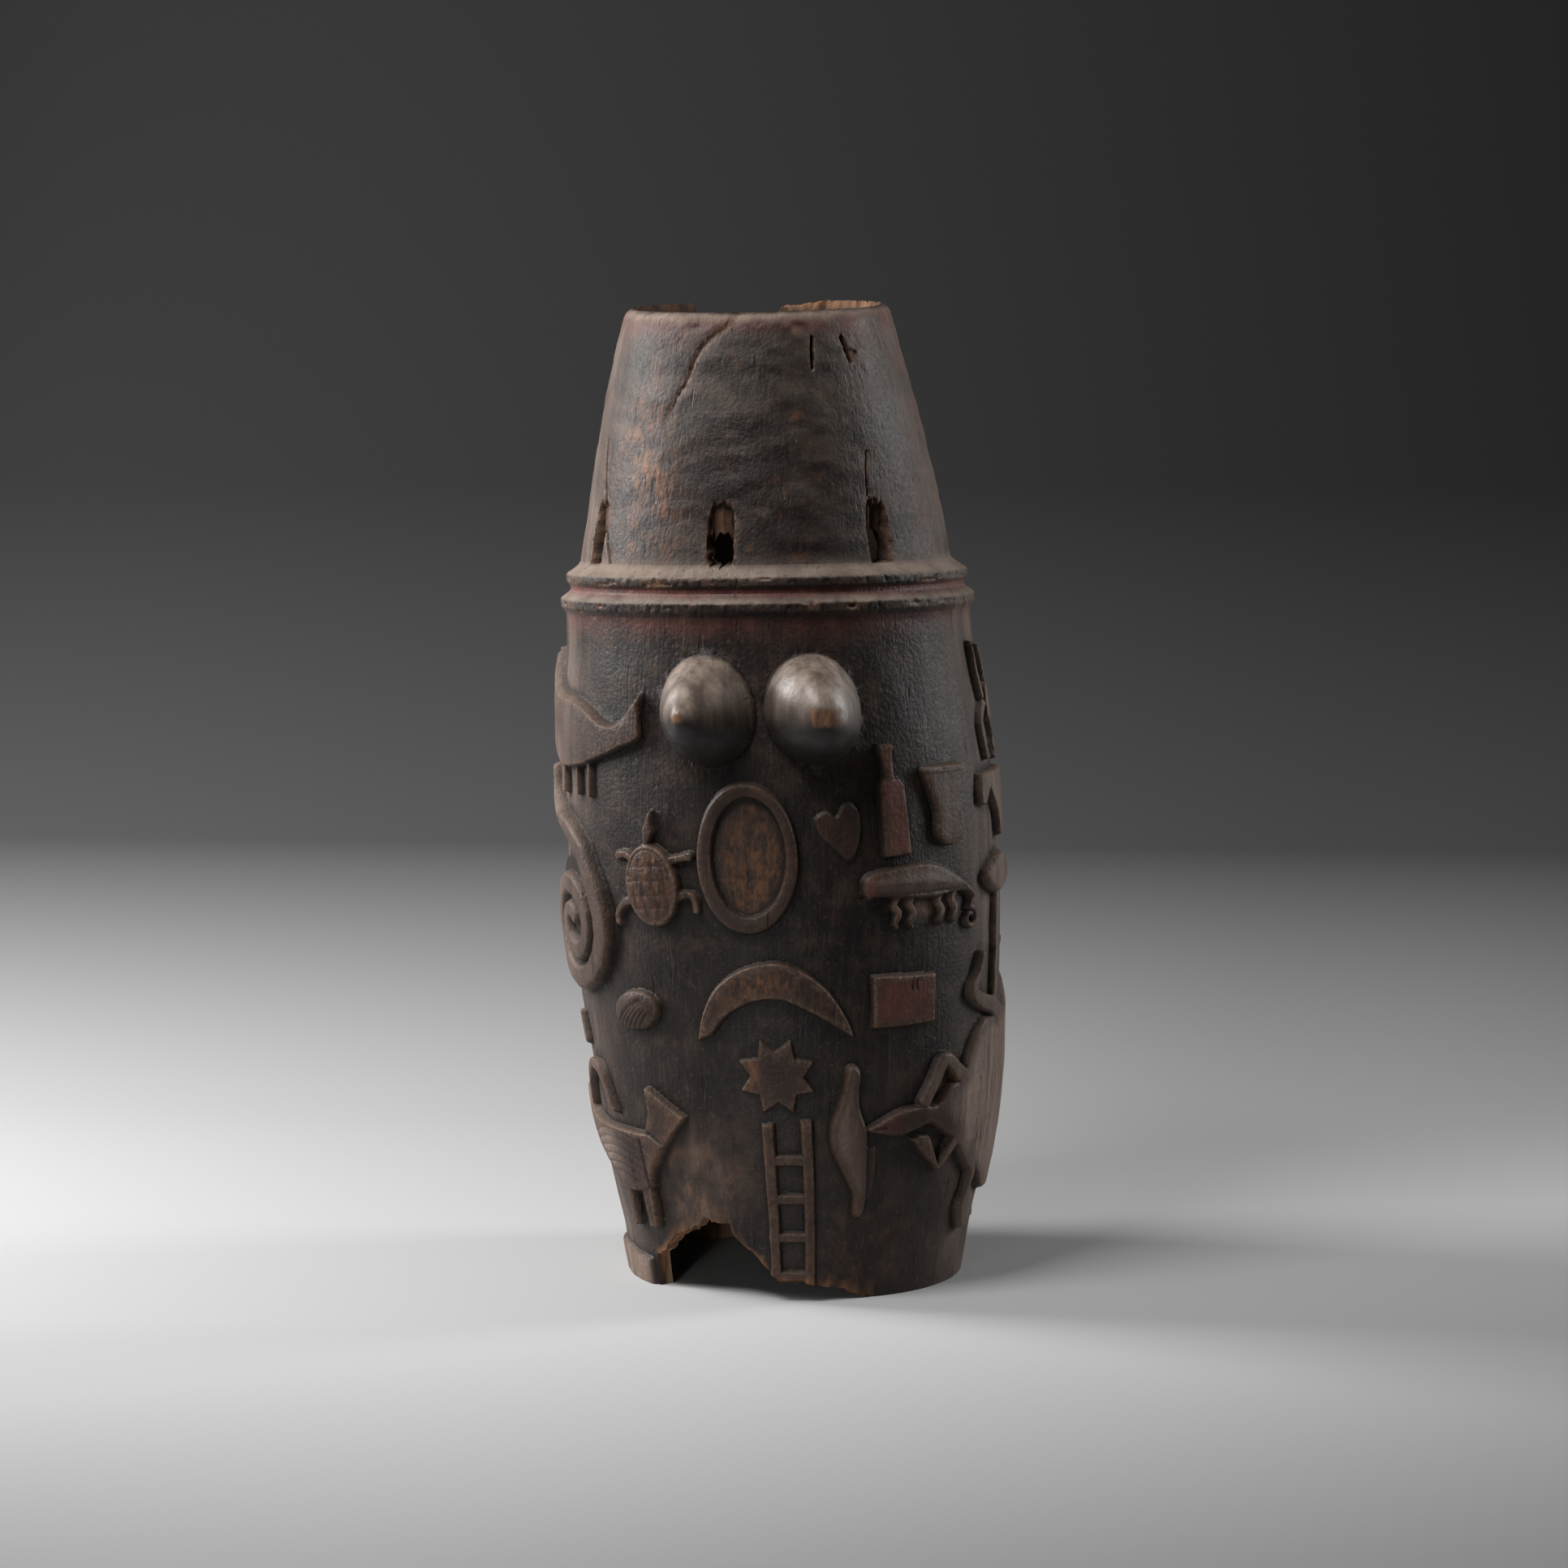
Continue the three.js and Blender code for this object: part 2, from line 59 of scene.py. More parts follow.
# Outer profile: height, radius, sideways drift of the centre line
OUTER = [
    (0, 184.5, 0.2), (17, 187.6, 0), (54, 194, 0.2), (91, 202.5, 0.2), (129, 210.6, -0.5),
    (166, 216.5, -1.4), (203, 221, -2.8), (240, 224.6, -4.2), (286, 229.5, -6.5),
    (332, 234, -9.2), (378, 237.6, -11.9), (424, 239.8, -14.2), (470, 240.3, -16),
    (516, 239.4, -18.3), (561, 237.6, -21), (607, 234.9, -24.2), (643, 232.2, -26.9),
    (680, 228.6, -29.6), (716, 225.2, -31.4), (736, 224.0, -32.7), (743, 224.6, -32.8),
    (747.5, 227.6, -33.0), (749.5, 229.2, -33.2), (757.5, 229.8, -33.5), (759.5, 229.0, -33.6),
    (762, 225.6, -33.6), (766.5, 219.6, -33.8), (769, 218.2, -34.0), (773, 218.6, -34.1),
    (776, 221.2, -34.1), (777.5, 222.4, -34.2), (784.5, 222.6, -34.5), (786.5, 221.6, -34.6),
    (789.5, 216.6, -34.8), (794.5, 209.4, -35), (799, 205.8, -35.4),
    (805, 204.6, -35.8), (824, 201.6, -36.8), (860, 194.8, -37.6), (896, 188.1, -39),
    (932, 180.5, -39.9), (968, 172.8, -41.2), (1004, 163.8, -43.4), (1022, 159.8, -43.8),
    (1040, 155.2, -44.3), (1058, 150.3, -44.7), (1068, 147.9, -44.7), (1073, 145.4, -44.7),
    (1077, 140.8, -44.3),
]
# Inner wall: height, radius
INNER = [
    (0, 168), (100, 187), (240, 207), (450, 222), (660, 210), (790, 189), (1060, 131), (1077, 134.5),
]
# The collars and the rim lie a little out of square: height, slope along X, slope along Y
SLOPES = [(0, 0, 0), (640, 0, 0), (740, 0.018, -0.037), (800, 0.018, -0.037), (1078, 0.019, 0.02)]
TOP = 1077

# Broken foot and broken rim: azimuth, height of the ragged edge
FOOT_EDGE = [
    (-180, 0), (-50.8, 0), (-50.2, 38), (-44.4, 49), (-39.3, 65), (-33, 73), (-28.9, 80), (-25.9, 91),
    (-21.8, 86), (-17.6, 87), (-16.6, 72), (-12.5, 60), (-8.7, 47), (-5, 32), (-1.2, 22),
    (10.2, 20), (20.8, 12), (26.7, 2), (32, 0), (180, 0),
]
RIM_EDGE = [
    (-180, 1040), (-165, 1026), (-157, 1035), (-149, 1041), (-145, 1064), (-144, 1077),
    (150, 1077), (160, 1074), (172, 1071), (174.5, 1064), (177, 1048), (180, 1040),
]
FOOT_HOLD = 170  # rows above this height keep their place over the broken foot
RIM_HOLD = 985  # and rows below this one keep theirs under the broken rim
MID_HEIGHT = 500  # the broken foot is below it, the broken rim above
FAR_RIM = 96  # degrees from the front, past which the rim shows its inner edge

# Place of the root, its half width and half height, how far it reaches out and leans, the worn tip's share
# of the half width, the nipple's rise, the fullness, and the torn patch's half width and half height
BREASTS = {
    "left": {"az": -13.4, "z": 650, "rx": 55, "rz": 58, "reach": 72, "lean": -6, "tip": 0.11, "nipple": 11,
             "full": 1.08, "patch": (6, 5)},
    "right": {"az": 15.0, "z": 651, "rx": 54, "rz": 57, "reach": 73, "lean": 0, "tip": 0.27, "nipple": 0,
              "full": 1.4, "patch": (16, 9.5)},
}
NIPPLE_WIDTH = 0.34  # share of the half width
TIP_WEAR = 6  # millimetres off the tip for each whole share that is worn

TUBE_STEPS = 48
FRONT_CLOSER = 0.36  # how much closer the columns stand at the front than at the back
TRIANGLES = 197000  # kept after thinning
SHARP_ANGLE = 38 * DEG

# Peg slots: how many, the first one's azimuth and the height where they cross the wall
SLOT_COUNT, SLOT_FIRST, SLOT_Z = 7, -9, 815
# The holes at their feet: height, half width, the circle they stand on, and their slant through the wall
HOLE_Z, HOLE_HALF, HOLE_CIRCLE, HOLE_SLANT = 818, 10.5, 195, 0.12
BACK_SLOTS, BACK_SLOT_RISE = (3, 4), 24
# The ring of slots lies a little out of square, like the collars
RING_TILT_X, RING_TILT_Y = 0.018, 0.033


def table(rows, column):
    """A value that runs evenly from row to row of a table."""
    heights = np.array([row[0] for row in rows], dtype=float)
    values = np.array([row[column] for row in rows], dtype=float)
    return lambda z: np.interp(z, heights, values)


outer_radius = table(OUTER, 1)
drift = table(OUTER, 2)
inner_radius = table(INNER, 1)
slope_x = table(SLOPES, 1)
slope_y = table(SLOPES, 2)
foot_edge = table(FOOT_EDGE, 1)
rim_edge = table(RIM_EDGE, 1)


def skin_point(azimuth, z, radius):
    """Place on the leaning log, in millimetres from the middle of the foot."""
    x = radius * np.sin(azimuth * DEG)
    y = -radius * np.cos(azimuth * DEG)
    return np.stack([x + drift(z), y, z + x * slope_x(z) + y * slope_y(z)], axis=-1)


# The carving: heights and stains over the unrolled skin
COLUMNS, ROWS = 1500, 1078
ANGLES = -180 + 360 * np.arange(COLUMNS) / COLUMNS
HEIGHTS = np.arange(ROWS, dtype=float)
relief = np.zeros((ROWS, COLUMNS))
STAINS = ("red", "orange", "pale", "dark", "worn", "groove", "polish", "fresh", "raised")
stains = {name: np.zeros((ROWS, COLUMNS)) for name in STAINS}
# The mesh's colour attributes and what each of their parts holds
STAIN_LAYERS = {
    "stain_a": ("red", "orange", "pale"), "stain_b": ("dark", "worn", "groove"),
    "stain_c": ("polish", "fresh", "inner"), "stain_d": ("raised", "clean"),
}


def lattice(cells_around, cells_up, seed):
    """Smooth seeded noise from -1 to 1 on the unrolled skin, without a seam at the back."""
    rng = np.random.default_rng(seed)
    grid = rng.uniform(-1, 1, (cells_up + 2, cells_around))
    across = np.arange(COLUMNS) * cells_around / COLUMNS
    up = np.arange(ROWS) * cells_up / ROWS
    i, j = across.astype(int), up.astype(int)
    s, t = across - i, up - j
    s, t = s * s * (3 - 2 * s), t * t * (3 - 2 * t)
    low = grid[j][:, i % cells_around] * (1 - s) + grid[j][:, (i + 1) % cells_around] * s
    high = grid[j + 1][:, i % cells_around] * (1 - s) + grid[j + 1][:, (i + 1) % cells_around] * s
    return low * (1 - t)[:, None] + high * t[:, None]


def smoothstep(low, high, value):
    """0 at low and 1 at high, eased at both ends. Low may be the larger of the two."""
    t = np.clip((value - low) / (high - low), 0, 1)
    return t * t * (3 - 2 * t)


def band(value, foot, low, high, top):
    """1 between low and high, fading out at foot and top."""
    return smoothstep(foot, low, value) * smoothstep(top, high, value)


def stain_skin(name, amount):
    """Adds to one stain over the whole skin."""
    stains[name][:] = np.maximum(stains[name], amount)


class Patch:
    """The part of the skin round one figure, flat, in millimetres from the figure's middle."""

    def __init__(self, az, z, wide, tall):
        self.az, self.z = az, z
        self.step = float(outer_radius(z)) * DEG
        first, last = max(int(z - tall), 0), min(int(z + tall) + 1, ROWS)
        reach = min(wide / self.step, 179)
        columns = np.arange(math.floor((az - reach + 180) / 360 * COLUMNS),
                            math.ceil((az + reach + 180) / 360 * COLUMNS))
        self.where = np.ix_(np.arange(first, last), columns % COLUMNS)
        u = (-180 + 360 * columns / COLUMNS - az) * self.step
        self.u, self.v = np.meshgrid(u, HEIGHTS[first:last] - z)

    def at(self, az, z):
        """Millimetres across and up from the patch's middle."""
        return (az - self.az) * self.step, z - self.z

    def stroke(self, path, flat=False):
        """Millimetres inside a band along a path of azimuth, height, half width."""
        best = np.full(self.u.shape, -1e3)
        ends = len(path) - 2
        for i, (a, b) in enumerate(zip(path, path[1:])):
            (ua, va), (ub, vb) = self.at(a[0], a[1]), self.at(b[0], b[1])
            length = math.hypot(ub - ua, vb - va) or 1e-6
            du, dv = (ub - ua) / length, (vb - va) / length
            along = (self.u - ua) * du + (self.v - va) * dv
            t = np.clip(along, 0, length)
            away = np.hypot(self.u - ua - t * du, self.v - va - t * dv)
            inside = a[2] + (b[2] - a[2]) * t / length - away
            if flat and i == 0:
                inside = np.where(along < 0, np.minimum(inside, along), inside)
            if flat and i == ends:
                inside = np.where(along > length, np.minimum(inside, length - along), inside)
            best = np.maximum(best, inside)
        return best

    def outline(self, points):
        """Millimetres inside a closed outline of azimuth, height."""
        corners = [self.at(*point) for point in points]
        away = np.full(self.u.shape, 1e6)
        within = np.zeros(self.u.shape, dtype=bool)
        for (ua, va), (ub, vb) in zip(corners, corners[1:] + corners[:1]):
            length = math.hypot(ub - ua, vb - va) or 1e-6
            t = np.clip(((self.u - ua) * (ub - ua) + (self.v - va) * (vb - va)) / length ** 2, 0, 1)
            away = np.minimum(away, np.hypot(self.u - ua - t * (ub - ua), self.v - va - t * (vb - va)))
            if va != vb:
                cross = (va > self.v) != (vb > self.v)
                within ^= cross & (self.u < ua + (self.v - va) * (ub - ua) / (vb - va))
        return np.where(within, away, -away)

    def oval(self, az, z, rx, rz, turn=0):
        """Millimetres inside an oval, how far out from its middle (1 at the edge), and its own axes."""
        ua, va = self.at(az, z)
        c, s = math.cos(turn * DEG), math.sin(turn * DEG)
        x = (self.u - ua) * c + (self.v - va) * s
        y = -(self.u - ua) * s + (self.v - va) * c
        out = np.hypot(x / rx, y / rz) + 1e-6
        slope = np.hypot(x / rx ** 2, y / rz ** 2) / out + 1e-6
        return (1 - out) / slope, out, x, y

    def rounded(self, points):
        """Millimetres inside a closed outline, rounded through its points."""
        return self.outline(curve(points, 3, closed=True))

    def scored(self, path, width, half=1.0):
        """1 along an engraved line through places of azimuth, height."""
        return line(width - np.abs(self.stroke([(*place, 0.1) for place in path])), half)

    def raise_to(self, rise):
        """Raises the skin, and marks what is raised."""
        relief[self.where] = np.maximum(relief[self.where], rise)
        self.stain("raised", rise / 4)

    def lift(self, inside, height, edge):
        """Raises a flat figure with rounded shoulders."""
        self.raise_to(shoulder(inside, height, edge))

    def cut(self, depth):
        relief[self.where] -= depth

    def stain(self, name, amount):
        stains[name][self.where] = np.maximum(stains[name][self.where], np.clip(amount, 0, 1))

    def tint(self, name, inside, first, last, amount=1):
        """Stains a figure, fading in over its first millimetres."""
        self.stain(name, smoothstep(first, last, inside) * amount)

    def rub_edge(self, inside, amount, outer=2, wide=7, narrow=2):
        """Wear along the raised edge of a figure."""
        self.stain("worn", smoothstep(0, outer, inside) * smoothstep(wide, narrow, inside) * amount)

    def dirt_beside(self, inside, amount, first, last=0):
        """Dirt on the ground beside a figure."""
        self.stain("groove", smoothstep(first, last, inside) * (inside < 0) * amount)


def shoulder(inside, height, edge):
    """Rises steeply from the ground and rounds over into a flat top."""
    t = np.clip(inside / (edge * 0.62), 0, 1)
    return height * np.sqrt(1 - (1 - t) ** 2)


def line(inside, half=1.0):
    """A shallow engraved line where `inside` is measured from its middle."""
    return np.clip(inside / half, 0, 1)


def curve(points, per_span=6, closed=False):
    """Rounds a path or an outline through its points."""
    count = len(points)
    get = (lambda i: points[i % count]) if closed else (lambda i: points[min(max(i, 0), count - 1)])
    result = []
    for i in range(count if closed else count - 1):
        p0, p1, p2, p3 = (np.array(get(i + k), dtype=float) for k in (-1, 0, 1, 2))
        for k in range(per_span):
            t = k / per_span
            result.append(tuple(0.5 * (2 * p1 + (p2 - p0) * t + (2 * p0 - 5 * p1 + 4 * p2 - p3) * t ** 2
                                       + (3 * p1 - p0 - 3 * p2 + p3) * t ** 3)))
    if not closed:
        result.append(points[-1])
    return result


def mirror():
    p = Patch(-4.3, 494.5, 75, 100)
    inside, out, x, y = p.oval(-4.7, 494.5, 55, 82.5, -2.8)
    hole = p.oval(-4.3, 496, 40.5, 66, -2.8)[0]
    p.raise_to(np.where(hole > 0, np.maximum(9 - hole * 3.2, 1.2),
                        shoulder(inside, 9.5, 7) - smoothstep(9, 17, inside) * 1.5))
    p.tint("dark", hole, 0, 8, 0.2)
    p.stain("orange", smoothstep(2, 10, hole) * np.clip(0.55 - y * 0.003 + x * 0.006, 0.3, 0.95))
    p.tint("worn", hole, 0, 6, 0.35)
    p.dirt_beside(inside, 0.8, first=-7, last=-1)
    p.cut(((np.abs(x - 3) < 0.8) | (np.abs(y + 22) < 0.7) | (np.abs(x + 19) < 0.6)) * (hole > 6) * 0.7)


def turtle():
    p = Patch(-31, 465, 75, 90)
    legs = [
        [(-35.5, 482, 6), (-39.5, 490, 5), (-43, 488.5, 6)],
        [(-26.5, 487, 6), (-22.5, 492, 5), (-19.3, 495, 6)],
        [(-36.5, 442, 6), (-40.5, 438, 5.5), (-43.2, 426, 5), (-43.6, 413, 5)],
        [(-25, 447, 6), (-21, 453, 5), (-18.9, 448, 5), (-18.4, 434, 5)],
    ]
    for leg in legs:
        inside = p.stroke(curve(leg, 4), flat=True)
        p.lift(inside, 7, 5)
        p.tint("worn", inside, 0, 5, 0.5)
    head = p.stroke([(-32.7, 492, 5.5), (-32.2, 507, 5.5), (-31.6, 520, 8.5), (-31.1, 540, 2)])
    p.lift(head, 9, 7)
    inside, out, x, y = p.oval(-31.1, 460, 34.5, 45.5, 7)
    p.raise_to(shoulder(inside, 10, 5) + np.clip(1 - out ** 2, 0, 1) * 3.5)
    rim = line(1.2 - np.abs(inside - 6.5))
    grid = [(x, place) for place in (-20, -7, 8, 20)] + [(y, place) for place in (-24, -10, 6, 21)]
    marks = sum(line(1.0 - np.abs(axis - place)) for axis, place in grid)
    p.cut((np.clip(marks, 0, 1) * (inside > 7) + rim * (y > 10) * 1.6) * 1.1)
    p.rub_edge(inside, 1, outer=3, wide=9, narrow=3)
    p.tint("orange", inside, 4, 12, 0.3)
    p.cut(p.scored([(-33.5, 530), (-31.5, 516)], 1.5) * (head > 0) * 0.6)


def snake():
    centre_az, centre_z, turns, steps = -66.4, 402, 1.95, 34
    p = Patch(centre_az, 430, 110, 155)
    neck = [(-83, 568, 6), (-81, 542, 6), (-76, 519, 9), (-66, 505, 12), (-57, 482, 13)]
    spiral = []
    for i in range(steps + 1):
        turned = i / steps * turns
        angle = 0.6 - turned * 2 * math.pi
        radius = 72 - 31 * turned
        spiral.append((centre_az + radius * math.cos(angle) / p.step,
                       centre_z + radius * 0.98 * math.sin(angle), 15.5 - turned * 2.2))
    inside = p.stroke(curve(neck, 4)[:-1] + spiral)
    disc = p.oval(centre_az, centre_z, 78, 77)[0]
    p.lift(disc, 5, 5)
    p.lift(inside, 13.5, 11)
    p.tint("worn", inside, 9, 13, 0.4)
    p.tint("pale", inside, 2, 10, 0.25)
    p.stain("groove", smoothstep(2, -2, inside) * (disc > 0))
    p.stain("dark", smoothstep(1, -3, inside) * (disc > 0) * 0.8)


def upper_bird():
    p = Patch(-60, 625, 130, 95)
    inside = p.rounded([
        (-92, 610), (-84, 604), (-71, 576), (-58, 580), (-52, 587), (-44, 598), (-39, 607), (-33.1, 617),
        (-32.6, 632), (-33.1, 667), (-36, 655), (-40, 638), (-43.5, 632), (-48, 635), (-55, 648),
        (-63, 655), (-75, 659), (-84, 678), (-92, 702),
    ])
    back = [(-92, 702), (-84, 678), (-75, 659), (-63, 655), (-55, 648), (-48, 635), (-43.5, 632), (-40, 638),
            (-36, 655), (-33.1, 667)]
    from_back = -p.stroke(curve([(*place, 0.1) for place in back], 3))
    p.raise_to(np.minimum(shoulder(inside, 12, 5), 2 + from_back * 1.9) * (inside > 0))
    p.stain("worn", smoothstep(0, 2, inside) * smoothstep(7, 4, from_back) * 0.6)
    for a, low in [(-61.2, 547), (-54.2, 547)]:
        leg = p.stroke([(a, 595, 4.2), (a, low, 3.6)], flat=True)
        p.lift(leg, 7, 3)
        p.dirt_beside(leg, 0.7, first=-5)
    post = p.stroke([(-73, 588, 7), (-72.5, 545, 7)], flat=True)
    p.lift(post, 8, 3)


def heart():
    p = Patch(19, 520, 45, 50)
    inside = p.rounded([
        (12.9, 530), (13.6, 540), (16.4, 544.5), (18.6, 538), (20.2, 549), (22.3, 554.5), (24.6, 546),
        (25.2, 531), (24.3, 508), (21.7, 491), (18, 503), (14.2, 518),
    ])
    p.lift(inside, 3.8, 4)
    p.dirt_beside(inside, 0.6, first=-4)


def bottle():
    p = Patch(34.6, 550, 50, 85)
    neck = p.stroke([(33.6, 613, 8), (33.7, 606, 8), (33.8, 599, 6.8), (34, 576, 6.5)], flat=True)
    lip = p.stroke([(33.6, 613.5, 8.6), (33.7, 608, 8.6)], flat=True)
    body = p.outline([(30.9, 570), (32, 578), (36.8, 578), (38.4, 570), (38.9, 494), (30.9, 492)])
    inside = np.maximum(neck, body)
    p.lift(inside, 8.5, 5)
    p.lift(lip, 9.5, 3)
    p.tint("red", inside, 1, 6, 0.75)
    p.tint("pale", body, 5, 12, 0.25)
    p.rub_edge(inside, 0.7, wide=6)


def foot_form():
    p = Patch(52.9, 545, 60, 65)
    inside = p.rounded([
        (45.2, 585), (53, 587), (60.3, 584), (59.2, 567), (57.4, 552), (57.8, 533), (58.6, 514), (56.8, 504),
        (52.9, 499), (48.8, 503), (47.5, 517), (47.9, 536), (46.3, 561), (45, 576),
    ])
    p.lift(inside, 9, 6)
    p.lift(p.stroke([(46, 583, 5), (59.6, 582.5, 5)]), 10, 4)
    p.rub_edge(inside, 0.8)
    p.tint("pale", inside, 2, 12, 0.35)


def tongs():
    p = Patch(83, 640, 60, 75)
    strips = [
        ([(76, 708, 2.5), (78, 680, 4.5), (80.5, 652, 6)], 8),
        ([(83, 704, 2.5), (87, 680, 4.5), (88.5, 652, 6)], 8),
        ([(84.5, 656, 9), (84.5, 630, 9)], 10),
        ([(81, 642, 6), (76.5, 622, 5), (77.5, 585, 3.5)], 7.5),
        ([(87.5, 636, 6), (92, 606, 4.5), (91.5, 580, 3.5)], 7.5),
    ]
    for path, height in strips:
        inside = p.stroke(curve(path, 4) if len(path) > 2 else path)
        p.lift(inside, height, 4)
        p.tint("pale", inside, 0, 4, 0.6)


def trousers():
    p = Patch(80.5, 535, 65, 55)
    inside = p.outline([
        (69.4, 571), (91.6, 571), (90, 545), (85.6, 522), (84.4, 496), (80.6, 496), (79.6, 525),
        (74.8, 551), (70.6, 534), (67.6, 537), (67.9, 552),
    ])
    p.lift(inside, 9, 5)
    p.tint("pale", inside, 0, 4, 0.6)


def chameleon():
    p = Patch(43, 445, 95, 60)
    for az in (34.0, 38.6, 48.1, 53.3):
        leg = [(az + 0.5, 452, 5), (az - 0.9, 441, 4), (az + 0.6, 431, 4), (az - 0.5, 421, 3.4), (az, 415, 2)]
        p.lift(p.stroke(curve(leg, 4)), 6.5, 3.5)
    body = p.rounded([
        (24.3, 457), (25.6, 447), (27.6, 448.5), (31, 449), (37.5, 446), (46, 444), (52, 447.5), (57.5, 446),
        (60.6, 437), (62.4, 440), (60, 452), (57.2, 460), (51, 475), (45, 484), (38, 484.5), (31, 480.5),
        (27, 477.5), (24.6, 470),
    ])
    p.raise_to(shoulder(body, 9.5, 8) + smoothstep(8, 20, body) * 2.5)
    curl = []
    for i in range(16):
        angle = 1.7 - i * 0.5
        radius = 12.5 - i * 0.55
        curl.append((60.3 + radius * math.cos(angle) / p.step, 416 + radius * math.sin(angle),
                     4.2 - i * 0.12))
    tail = p.stroke([(61.2, 441, 4.5)] + curl)
    p.lift(tail, 7, 4)
    p.cut(p.scored([(24.5, 449.5), (28.2, 450.5)], 1.6) * 2.2)
    p.cut(p.scored([(57, 452), (35, 452.5)], 1.8) * (body > 2) * 1.4)
    p.stain("red", smoothstep(2, 6, body) * smoothstep(-55, -75, p.u) * 0.8)
    p.stain("worn", smoothstep(3, 6, body) * smoothstep(13, 7, body) * (p.v > 12))
    p.tint("pale", body, 4, 12, 0.35)
    under = p.stroke([(34, 437, 14), (54, 435, 16)])
    p.stain("orange", smoothstep(0, 12, under) * (body < 0) * 0.55)
    p.stain("pale", smoothstep(0, 10, under) * (body < 0) * 0.7)


def club():
    p = Patch(77, 400, 55, 100)
    shaft = p.stroke([(76.5, 446, 5), (75.5, 380, 5), (74.3, 316, 4)])
    head = p.rounded([
        (67.3, 460), (70.3, 470), (78.6, 482), (84, 475), (86, 455), (80.5, 439), (74.5, 436), (68.6, 448),
    ])
    p.lift(shaft, 7, 4.5)
    p.lift(head, 12, 12)
    p.stain("pale", smoothstep(0, 5, np.maximum(shaft, head)) * 0.6)


def tablet():
    p = Patch(36.2, 336, 60, 55)
    inside = p.outline([(26.6, 365), (36, 364), (46.3, 362.5), (45.7, 307.5), (36, 306), (26.3, 306)])
    p.lift(inside, 8, 6)
    p.tint("red", inside, 2, 9, 0.5)
    p.stain("orange", smoothstep(8, 20, inside) * smoothstep(10, -20, p.u) * 0.35)
    p.rub_edge(inside, 0.8, outer=2.5, wide=8, narrow=3)
    for az in (38.2, 39.6):
        p.cut(p.scored([(az, 357), (az - 0.3, 346)], 1.0) * 3)


def creature():
    p = Patch(78, 215, 270, 180)
    legs = [
        [(66.6, 371, 6), (64.3, 352, 6), (61.5, 334, 8.5), (65.5, 321, 10), (73, 311, 11), (78, 296, 14)],
        [(42.2, 220, 8), (45.3, 240, 8), (49.4, 264, 8.5), (54, 251, 10), (59, 232, 12)],
        [(57, 182, 9), (52.5, 161, 7), (48.8, 144, 5)],
        [(56, 172, 8), (62, 147, 8), (66.6, 129, 8), (64.8, 106, 5), (63.4, 88, 6), (66.5, 66, 5)],
        [(98, 296, 12), (104, 318, 9), (110, 334, 8), (106, 366, 7)],
        [(100, 108, 11), (106, 88, 8), (112, 74, 7), (108, 50, 6)],
    ]
    for path in legs:
        inside = p.stroke(curve(path, 4))
        p.lift(inside, 10, 7)
        p.tint("pale", inside, 0, 6, 0.3)
        p.tint("worn", inside, 3, 8, 0.4)
    pad = p.outline([(49.3, 139), (44.2, 182), (40.4, 184), (38, 180), (43, 158)])
    p.lift(pad, 10, 5)
    p.rub_edge(pad, 0.8, narrow=3)
    neck = p.rounded([
        (24.2, 195), (27, 201), (33.5, 213), (40, 217), (46.2, 216.5), (51.5, 233), (58, 240), (70, 240),
        (70, 170), (58, 165), (50, 180), (44.5, 193.5), (39, 188), (33.5, 184), (28.5, 187.5), (25, 191),
    ])
    p.raise_to(shoulder(neck, 10, 8) + smoothstep(6, 22, neck) * 2)
    p.cut(p.scored([(30, 196), (25, 194)], 1.5) * 2)
    body = p.rounded([
        (73.5, 300), (67.3, 300), (63.6, 287), (60.6, 270), (58.2, 254), (57.3, 241), (51.5, 235), (47, 215),
        (48, 192), (55, 174), (56, 162), (62, 145), (69.6, 127), (78.8, 100), (92, 96), (104, 112),
        (112, 145), (115, 205), (111, 262), (101, 296), (86, 306),
    ])
    p.raise_to(shoulder(body, 9, 7) + smoothstep(10, 80, body) * 1.5)
    # Pale wood, and painted light on the right of the body where the side lamp would fall
    p.stain("pale", 1.4 * smoothstep(0, 25, body) * smoothstep(46, 62, p.az + p.u / p.step))
    tail = p.stroke(curve([(108, 203, 26), (122, 207, 14), (136, 214, 8), (148, 226, 3)], 4))
    p.lift(tail, 9, 8)
    brick = np.floor((p.v + 200) / 16)
    joint = (p.u + 400 + brick * 6.5) % 13
    hatch = line(0.9 - np.abs(joint - 6.5)) * (np.abs((p.v + 200) % 16 - 8) < 6.5)
    p.cut(hatch * smoothstep(14, 30, body) * 1.3)
    p.stain("groove", hatch * smoothstep(14, 30, body) * 0.8)
    cracks = lattice(900, 12, 41)[p.where]
    p.cut(smoothstep(0.55, 0.8, cracks) * smoothstep(2, 20, body) * 1.2)
    wear = p.stroke([(47, 232, 10), (54, 240, 12)])
    p.tint("orange", wear, 0, 12, 0.6)
    p.stain("red", smoothstep(2, 8, neck) * smoothstep(36, 27, p.az + p.u / p.step) * 0.5)


def gourd_fish():
    p = Patch(20.5, 180, 55, 105)
    inside = p.rounded([
        (20.6, 268), (18.4, 262), (17.6, 244), (16, 225), (13.6, 200), (14, 172), (16.6, 150), (18.6, 134),
        (20.4, 118), (20.6, 97), (23.6, 96), (24.6, 114), (24.6, 140), (24.6, 168), (24.5, 194),
        (22.6, 215), (22.2, 238), (22.8, 258),
    ])
    p.raise_to(shoulder(inside, 10, 9) + smoothstep(8, 20, inside) * 1.5)
    flap = p.outline([(24.2, 176), (27.4, 172), (27.6, 146), (26.4, 116), (24.4, 112)])
    p.lift(flap, 3.5, 3)
    p.tint("pale", inside, 2, 12, 0.35)
    p.tint("worn", inside, 5, 12, 0.45)


